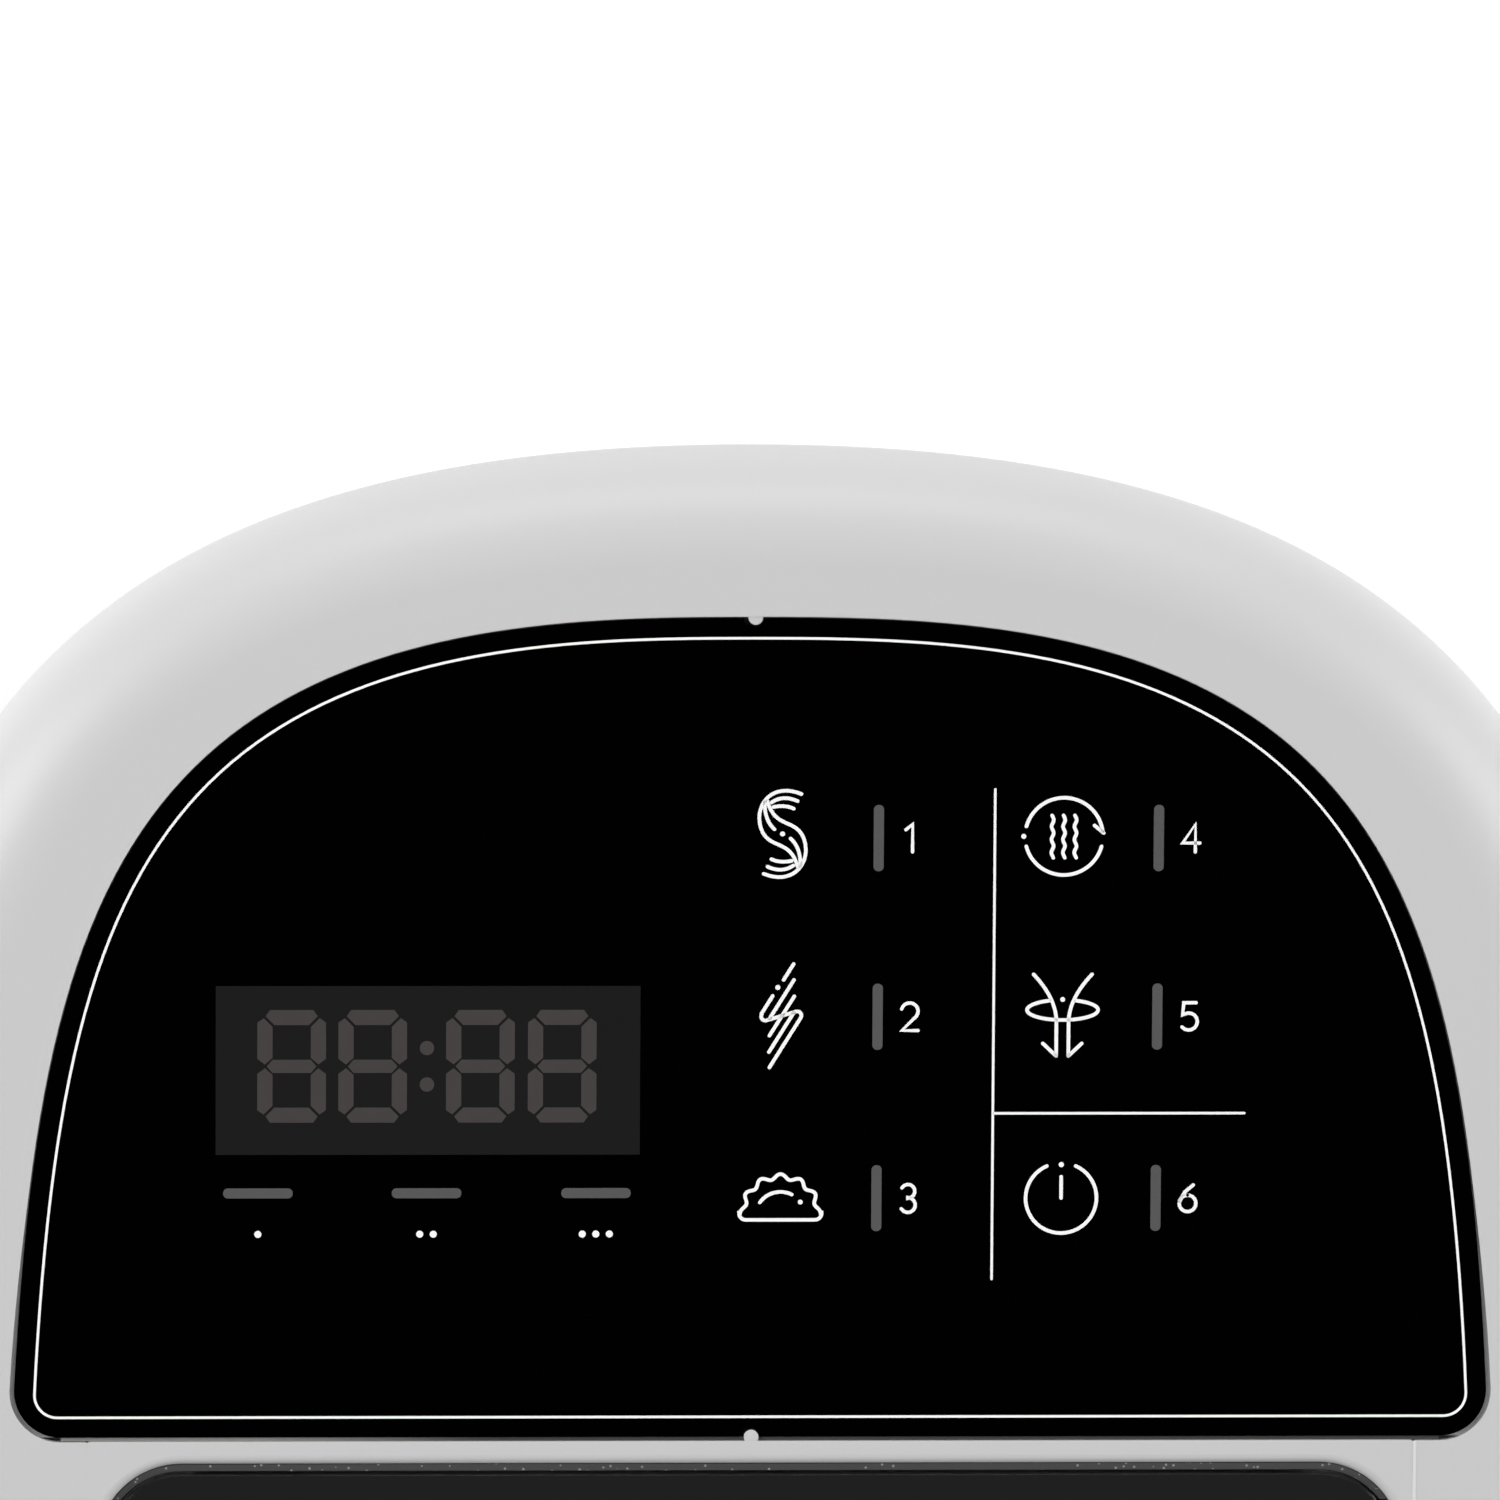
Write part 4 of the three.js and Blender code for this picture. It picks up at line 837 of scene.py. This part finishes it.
class Print:
    """Collects flat printed shapes that lie on the touch panel as one thin piece."""

    def __init__(self, name, low, high):
        self.name = name
        self.low = PANEL_TOP + low
        self.high = PANEL_TOP + high
        self.parts = []

    def plate(self, *loops):
        self.parts.append(prism(list(loops), self.low, self.high))

    def stroke(self, points, width, closed=False):
        """A line of even width through the points, with round ends if it is open."""
        half = width / 2
        count = len(points)
        left = []
        right = []
        for i in range(count):
            here = Vector(points[i])
            before = Vector(points[i - 1]) if i > 0 or closed else here
            after = Vector(points[(i + 1) % count]) if i < count - 1 or closed else here
            edge_in = (here - before).normalized() if here != before else None
            edge_out = (after - here).normalized() if here != after else None
            edge_in = edge_in or edge_out
            edge_out = edge_out or edge_in
            middle = (edge_in + edge_out).normalized()
            reach = half / max(0.6, edge_in.dot(middle))
            normal = Vector((-middle.y, middle.x))
            left.append(tuple(here + normal * reach))
            right.append(tuple(here - normal * reach))
        if closed:
            self.plate(right, left[::-1])
            return
        self.plate(right + self.cap(points[-2], points[-1], half) + left[::-1]
                   + self.cap(points[1], points[0], half))

    def cap(self, before, tip, half):
        heading = math.degrees(math.atan2(tip[1] - before[1], tip[0] - before[0]))
        return arc_points(tip[0], tip[1], half, heading - 90, heading + 90, 6)[1:-1]

    def dot(self, x, v, r):
        self.plate(circle(x, v, r, 20))

    def build(self, finish_name):
        piece = object_from(self.name, *joined(*self.parts), deck_matrix)
        finish(piece, "root", "panel_glass", (), finish_name)


STROKE = 0.42
HAIRLINE = 0.3
BORDER_INSET = 2.4
DIVIDER_X = 28.35
POWER_RULE_V = 38.75
KEY_COLUMNS = (14.65, 47.7)
ICON_COLUMNS = (3.3, 36.5)
KEY_ROWS = (71.6, 50.3, 28.6)
PROGRESS_COLUMNS = (-58.4, -38.5, -18.5)
PROGRESS_V = 29.25


def placed(points, x, v, sign=1):
    """Points of a sketch about its own middle, moved to x, v and turned half round by sign -1."""
    return [(x + sign * px, v + sign * pv) for px, pv in points]


def noodle_icon(ink, x, v):
    """A bundle of strands in an S, drawn as one half and the same half turned round."""
    spine = cubic((2.2, 4.75), (-1.2, 6.1), (-2.85, 3.7), (-2.75, 1.8), 16)
    spine += cubic((-2.75, 1.8), (-2.6, -0.8), (-0.9, -1.0), (0, -1.5), 12)[1:]
    spine += cubic((0, -1.5), (1.0, -2.0), (1.5, -2.8), (1.8, -3.9), 8)[1:]
    strands = [spine, cubic((1.75, 3.9), (0.6, 4.45), (-0.5, 4.35), (-1.3, 3.75), 10),
               cubic((1.3, 3.0), (0.5, 3.4), (-0.4, 3.35), (-1.1, 3.2), 10),
               cubic((-2.1, 3.8), (-2.2, 2.2), (-1.6, 1.1), (-0.95, 0.55), 10)]
    for sign in (1, -1):
        for strand in strands:
            ink.stroke(placed(strand, x, v, sign), STROKE)
    ink.dot(x, v, 0.3)


def quick_icon(ink, x, v):
    """A bolt of slanting parallel strokes, held together by one bent line."""
    lean = 0.62  # how far the strokes run sideways for each millimetre up
    strokes = ((1.4, 6.2, 4.3), (1.45, 4.3, -0.3), (1.5, 2.35, -2.35), (1.45, 0.4, -4.3))
    for top_x, top_v, low_v in strokes:
        ends = [(top_x, top_v), (top_x - lean * (top_v - low_v), low_v)]
        ink.stroke(placed(ends, x, v), STROKE)
    bent = [(-1.05, 2.4), (-2.35, 0.3)] + arc_points(-1.9, -0.05, 0.5, 148, 285, 8)
    bent += arc_points(1.85, 0.05, 0.5, 105, -32, 8) + [(-1.4, -6.15)]
    ink.stroke(placed(bent, x, v), STROKE)
    ink.dot(x - 0.45, v + 3.4, 0.3)


def dumpling_icon(ink, x, v):
    """A half-moon with a pleated edge."""
    points = []
    steps = 72
    for i in range(steps + 1):
        angle = math.pi * i / steps
        r = 4.45 + 0.3 * math.cos(12 * angle)
        points.append((r * math.cos(angle), 0.98 * r * math.sin(angle) - 1.75))
    points += arc_points(-4.1, -1.8, 0.78, 175, 270, 6) + arc_points(4.1, -1.8, 0.78, -90, 5, 6)
    ink.stroke(placed(points, x, v), STROKE, closed=True)
    ink.stroke(placed(arc_points(0, -2.2, 2.97, 145, 63, 14), x, v), STROKE)
    ink.dot(x + 2.35, v - 0.45, 0.29)


def knead_icon(ink, x, v):
    """A turning arrow round three wavy lines."""
    ink.stroke(arc_points(x, v, 4.6, 165, 6, 32), STROKE)
    ink.stroke(arc_points(x, v, 4.6, -15, -165, 32), STROKE)
    ink.stroke([(x + 3.6, v + 1.3), (x + 4.7, v + 0.4)], STROKE)
    ink.dot(x - 4.75, v, 0.3)
    for offset in (-1.35, 0, 1.35):
        waves = 3.25
        points = []
        for i in range(27):
            t = i / 26
            sway = 0.13 * math.sin(2 * math.pi * (waves * t - 0.1))
            points.append((x + offset + sway, v + 2.5 - 5.05 * t))
        ink.stroke(points, STROKE)


def extrude_icon(ink, x, v):
    """Dough drawn in through a ring and out as two strands."""
    ring = [(x + 4.2 * math.cos(a), v + 1.2 * math.sin(a))
            for a in (math.radians(112 + 316 * i / 40) for i in range(41))]
    ink.stroke(ring, STROKE)
    for side in (-1, 1):
        inward = cubic((side * 3.45, 4.25), (side * 2.0, 2.7), (side * 0.85, 0.9),
                       (side * 0.72, -1.2), 12)
        ink.stroke(placed(inward + [(side * 0.72, -5.5)], x, v), STROKE)
        ink.stroke(placed([(side * 0.72, -5.5), (side * 2.3, -4.0)], x, v), STROKE)
    ink.dot(x, v + 1.25, 0.29)


def power_icon(ink, x, v):
    ink.stroke(arc_points(x, v, 4.2, 114, 426, 44), STROKE)
    ink.stroke([(x, v + 2.55), (x, v)], STROKE)
    ink.dot(x, v + 4.0, 0.31)


# numerals as strokes in a box one unit high
def numeral_strokes(digit):
    if digit == 1:
        return [[(0.12, 0.8), (0.36, 1.0), (0.36, 0.0)]]
    if digit == 2:
        return [arc_points(0.3, 0.7, 0.3, 165, -38, 10) + [(0.02, 0.0), (0.6, 0.0)]]
    if digit == 3:
        return [arc_points(0.28, 0.75, 0.25, 150, -90, 9) + arc_points(0.28, 0.25, 0.27, 90, -150, 9)]
    if digit == 4:
        return [[(0.46, 0.0), (0.46, 1.0), (0.0, 0.32), (0.62, 0.32)]]
    if digit == 5:
        return [[(0.54, 1.0), (0.1, 1.0), (0.06, 0.56)] + arc_points(0.28, 0.32, 0.31, 118, -140, 11)]
    return [arc_points(0.3, 0.3, 0.3, 90, 450, 20), [(0.5, 0.97), (0.2, 0.72), (0.02, 0.38)]]


def write_numeral(ink, digit, x, v, height):
    for stroke in numeral_strokes(digit):
        ink.stroke([(x + px * height, v + (py - 0.5) * height) for px, py in stroke], 0.4)


def print_keys():
    white = Print("panel_white_print", 0.0, 0.03)
    white.stroke(panel_outline(-BORDER_INSET, corner_r=2.7), HAIRLINE, closed=True)
    white.stroke([(DIVIDER_X, 77.4), (DIVIDER_X, 18.9)], HAIRLINE)
    white.stroke([(DIVIDER_X + 0.05, POWER_RULE_V), (58.1, POWER_RULE_V)], HAIRLINE)
    left, right = ICON_COLUMNS
    icons = ((noodle_icon, left, 72.1), (quick_icon, left, 50.4), (dumpling_icon, left, 28.6),
             (knead_icon, right, 71.8), (extrude_icon, right, 51.1), (power_icon, right, 28.6))
    for draw, x, v in icons:
        draw(white, x, v)
    for row, v in enumerate(KEY_ROWS):
        for first, x in zip((1, 4), KEY_COLUMNS):
            write_numeral(white, row + first, x + 2.8, v, 3.3)
    for count, x in enumerate(PROGRESS_COLUMNS, start=1):
        for k in range(count):
            white.dot(x + (k - (count - 1) / 2) * 1.6, PROGRESS_V - 4.9, 0.42)
    white.build("white_print")


def print_lamps():
    grey = Print("panel_lamp_windows", 0.0, 0.02)
    for x in KEY_COLUMNS:
        for v in KEY_ROWS:
            grey.plate(rounded_rect(x - 0.6, x + 0.6, v - 3.95, v + 3.95, 0.55, 6))
    for x in PROGRESS_COLUMNS:
        grey.plate(rounded_rect(x - 4.1, x + 4.1, PROGRESS_V - 0.6, PROGRESS_V + 0.6, 0.55, 6))
    grey.build("grey_print")


# unlit seven-segment figures in their window
WINDOW_LEFT = -63.4
WINDOW_RIGHT = -13.35
WINDOW_LOW_V = 33.85
WINDOW_HIGH_V = 54.0
COLON_X = -38.5
DIGIT_COLUMNS = (-58.5, -48.95, -36.25, -26.6)
DIGIT_V = 37.7
DIGIT_W = 8.1
DIGIT_H = 13.45
BAR = 1.8
SLIT = 0.22
CHAMFER = 1.5


def digit_segments():
    """The seven bars of a figure in a box with its lower left corner at the origin."""
    w, h, t, c, g = DIGIT_W, DIGIT_H, BAR, CHAMFER, SLIT
    half = c / 2
    top = [(c, h), (w - c, h), (w - half - g, h - half), (w - t - g, h - t), (t + g, h - t),
           (half + g, h - half)]
    middle = h / 2
    upper = [(0, h - c), (half, h - half - g), (t, h - t - g), (t, middle + t / 2 + g / 2),
             (t / 2, middle + g), (0, middle + t / 2)]
    centre = [(t / 2 + g, middle), (t, middle + t / 2 - g / 2), (w - t, middle + t / 2 - g / 2),
              (w - t / 2 - g, middle), (w - t, middle - t / 2 + g / 2), (t, middle - t / 2 + g / 2)]

    def flipped(loop, across, down):
        moved = [(w - x if across else x, h - y if down else y) for x, y in loop]
        return moved[::-1] if across != down else moved

    return [top, flipped(top, False, True), centre, upper, flipped(upper, True, False),
            flipped(upper, False, True), flipped(upper, True, True)]


def print_display():
    window = Print("display_window", 0.0, 0.02)
    window.plate([(WINDOW_LEFT, WINDOW_LOW_V), (WINDOW_RIGHT, WINDOW_LOW_V),
                  (WINDOW_RIGHT, WINDOW_HIGH_V), (WINDOW_LEFT, WINDOW_HIGH_V)])
    window.build("window_print")
    figures = Print("display_figures", 0.02, 0.04)
    for x in DIGIT_COLUMNS:
        for loop in digit_segments():
            figures.plate([(x + px, DIGIT_V + py) for px, py in loop])
    for v in (46.6, 42.25):
        figures.dot(COLON_X, v, 0.86)
    figures.build("segment_print")


# ------------------------------ extruder
def lobed(radius, swell, lobes, steps):
    """A circle with a wavy edge to grip."""
    points = []
    for i in range(steps):
        angle = 2 * math.pi * i / steps
        r = radius + swell * math.cos(lobes * angle)
        points.append((r * math.cos(angle), r * math.sin(angle)))
    return points


def make_front_plate():
    outline = rounded_rect(-PLATE_HALF_WIDTH, PLATE_HALF_WIDTH, -PLATE_HALF_HEIGHT,
                           PLATE_HALF_HEIGHT, PLATE_CORNER_R, 20)
    holes = [circle(0, 0, BARREL_R + 0.8, 64)] + [circle(x, 0, 4.5) for x in (-KNOB_X, KNOB_X)]
    plate = along_y([outline] + [h[::-1] for h in holes], PLATE_REAR_Y - PLATE_THICKNESS, PLATE_REAR_Y)
    piece = object_from("front_plate_cover", *plate, axis_matrix)
    soften(piece, 2.0, 6)
    finish(piece, "root", "shell", ["front_plate"])


def make_clamp_nut():
    grip_front = DISC_FRONT_Y - GAP
    loops = [lobed(NUT_R - 1, 1, 12, 192), circle(0, 0, BARREL_R + 0.6, 96)[::-1]]
    piece = object_from("clamp_nut_ring", *along_y(loops, grip_front, NUT_REAR_Y), axis_matrix)
    soften(piece, 0.5)
    finish(piece, "nut", "dark_trim", ["clamp_nut"])
    lip = [(NUT_LIP_R, grip_front), (NUT_LIP_R, NOSE_Y + 1.6), (NUT_LIP_R + 1.4, NOSE_Y),
           (NUT_R - 5, NOSE_Y), (NUT_R - 3, NOSE_Y + 2), (NUT_R - 3, grip_front + 0.2)]
    rim = object_from("clamp_nut_rim", *lathe(lip, 96), axis_matrix)
    soften(rim, 0.4)
    finish(rim, "nut", "dark_trim")


def make_shaping_disc():
    hole_count = 12
    centres_r = 16
    loops = [circle(0, 0, DISC_R, 72)]
    for i in range(hole_count):
        angle = 2 * math.pi * i / hole_count
        hole = circle(centres_r * math.cos(angle), centres_r * math.sin(angle), 1.7, 20)
        loops.append(hole[::-1])
    disc = along_y(loops, DISC_FRONT_Y, DISC_REAR_Y)
    piece = object_from("shaping_disc_round", *disc, axis_matrix)
    soften(piece, 0.3, 2)
    finish(piece, "root", "discs", ["shaping_disc"])


def make_knobs():
    rear = PLATE_REAR_Y - PLATE_THICKNESS - 0.4
    for side, x in (("left", -KNOB_X), ("right", KNOB_X)):
        place = Matrix.Translation((x, 0, AXIS_Z))
        loops = [lobed(14, 1.2, 6, 96), circle(0, 0, 4.4)[::-1]]
        grip = object_from(f"knob_grip_{side}", *along_y(loops, rear - 14, rear), place)
        soften(grip, 0.8, 4)
        finish(grip, f"knob_{side}", "dark_trim", [f"locking_knob_{side}"])
        cap = [(ON_AXIS, rear - 13.8), (12.4, rear - 13.8), (12.4, rear - 18.4), (11.6, rear - 19.5),
               (9.5, rear - 20), (ON_AXIS, rear - 19.6)]
        top = object_from(f"knob_cap_{side}", *lathe(cap, 64), place)
        soften(top, 0.3)
        finish(top, f"knob_{side}", "steel")


# ------------------------------ drawer, feet
def make_drawer():
    """A front with a scooped finger hold, and an open tray behind it."""
    tray_half = 69
    tray_rear_y = 12
    tray_low_z = DRAWER_LOW_Z + 1.5
    tray_high_z = 44
    tray_wall = 2
    front = rounded_rect(-DRAWER_HALF, DRAWER_HALF, DRAWER_LOW_Z, DRAWER_HIGH_Z, DRAWER_CORNER_R)
    piece = object_from("drawer_body", *along_y([front], BODY_FRONT_Y, BODY_FRONT_Y + WALL))
    tray = box_tool(-tray_half, tray_half, BODY_FRONT_Y + WALL - 0.5, tray_rear_y,
                    tray_low_z, tray_high_z)
    carve(piece, tray, operation="UNION")
    hollow = box_tool(tray_wall - tray_half, tray_half - tray_wall, BODY_FRONT_Y + 5,
                      tray_rear_y - tray_wall, tray_low_z + tray_wall, DRAWER_HIGH_Z + 6)
    scoop = lathe([(ON_AXIS, -24), (9, -24), (9, 24), (ON_AXIS, 24)], 64)
    turn = (Matrix.Translation((0, BODY_FRONT_Y - 4.4, DRAWER_HIGH_Z))
            @ Matrix.Rotation(math.radians(90), 4, "Z"))
    carve(piece, hollow, object_from("tool", *scoop, turn))
    soften(piece, 0.5)
    finish(piece, "drawer", "lower_shell", ["disc_drawer"])


def make_feet():
    for name in ("foot_front_left", "foot_front_right", "foot_rear_left", "foot_rear_right"):
        low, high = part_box(name)
        x = (low.x + high.x) / 2 / MM
        y = (low.y + high.y) / 2 / MM
        profile = [(ON_AXIS, 0.35), (6, 0.35), (6.6, 0), (9.4, 0), (10.4, 0.5), (11, 1.6),
                   (11, FOOT_HEIGHT), (ON_AXIS, FOOT_HEIGHT)]
        stand = Matrix.Translation((x, y, 0)) @ Matrix.Rotation(math.radians(90), 4, "X")
        piece = object_from(f"rubber_{name}", *lathe(profile, 48), stand)
        soften(piece, 0)
        finish(piece, "root", "feet", [name])


# ------------------------------ CAD nodes that stay
SLOT_OF = {entry["node"]: entry["material_slot"] for entry in frame["record"]["subparts"]}

# how far the edges of these nodes are rounded, in millimetres
EASED = {"dough_tank": 0.5, "kneading_paddle": 0.9, "power_inlet": 0.4, "spare_disc": 0.4,
         "base_plate": 0.5, "lid_seal": 0.2}


def dress_cad_nodes():
    """Gives each CAD node that still shows its material, welded facets and smooth curves."""
    for name, node in frame["nodes"].items():
        if node.hide_render:
            continue
        node.data.materials.clear()
        node.data.materials.append(MATERIALS[SLOT_OF[name]])
        for polygon in node.data.polygons:
            polygon.use_smooth = True
        weld = node.modifiers.new("weld", "WELD")
        weld.merge_threshold = 0.00001
        if name in EASED:
            add_bevel(node, EASED[name], 2, 40)
        split = node.modifiers.new("split", "EDGE_SPLIT")
        split.split_angle = math.radians(32)


# ------------------------------ stage
FLOOR_R = 6000
FLOOR_THICKNESS = 10
FLOOR_GLOW = 0.72
SKY_STRENGTH = 0.48


def area_light(name, place, target, size, power):
    data = bpy.data.lights.new(name, "AREA")
    data.shape = "RECTANGLE"
    data.size = size[0]
    data.size_y = size[1]
    data.energy = power
    light = bpy.data.objects.new(name, data)
    bpy.context.scene.collection.objects.link(light)
    light.location = place
    light.rotation_euler = (Vector(target) - Vector(place)).to_track_quat("-Z", "Y").to_euler()
    light.visible_camera = False


def make_stage():
    """A round floor that glows a little, so that it stays white beside the pale casing."""
    floor = object_from("floor", *prism([circle(0, 0, FLOOR_R, 96)], -FLOOR_THICKNESS, 0))
    material, _, _, shader = new_material("pale_floor")
    shader.inputs["Base Color"].default_value = (0.32, 0.32, 0.32, 1)
    shader.inputs["Roughness"].default_value = 0.9
    shader.inputs["Emission Color"].default_value = (1, 1, 1, 1)
    shader.inputs["Emission Strength"].default_value = FLOOR_GLOW
    floor.data.materials.append(material)


def make_light():
    """A sky that is bright near the horizon and dark overhead, and four soft boxes."""
    scene = bpy.context.scene
    scene.view_settings.view_transform = "Standard"
    scene.view_settings.look = "None"
    world = bpy.data.worlds.new("studio")
    scene.world = world
    world.use_nodes = True
    nodes = world.node_tree.nodes
    links = world.node_tree.links
    coords = nodes.new("ShaderNodeTexCoord")
    split = nodes.new("ShaderNodeSeparateXYZ")
    links.new(coords.outputs["Generated"], split.inputs["Vector"])
    ramp = nodes.new("ShaderNodeValToRGB")
    for stop, place, grey in zip(ramp.color_ramp.elements, (0.55, 0.9), (0.9, 0.0)):
        stop.position = place
        stop.color = (grey, grey, grey, 1)
    links.new(split.outputs["Z"], ramp.inputs["Fac"])
    background = nodes["Background"]
    links.new(ramp.outputs["Color"], background.inputs["Color"])
    background.inputs["Strength"].default_value = SKY_STRENGTH
    target = (0, 0.05, 0.25)
    area_light("left_softbox", (-1.66, 0.38, 1.22), target, (1.2, 1.4), 29.5)
    area_light("right_softbox", (1.66, 0.35, 1.2), target, (1.2, 1.4), 25.2)
    area_light("rear_softbox", (0, 1.8, 1.42), target, (1.8, 0.9), 13)
    area_light("front_softbox", (0, -1.9, 1.3), target, (1.8, 0.9), 8)


make_top_cover()
make_upper_housing()
make_lower_housing()
make_nibs()
make_lid_surround()
make_seam_beads()
make_lid_gasket()
make_lid()
make_lid_knuckles()
make_release_button()
make_panel()
make_bed_tape()
print_keys()
print_lamps()
print_display()
make_front_plate()
make_clamp_nut()
make_shaping_disc()
make_knobs()
make_drawer()
make_feet()
dress_cad_nodes()
make_stage()
make_light()
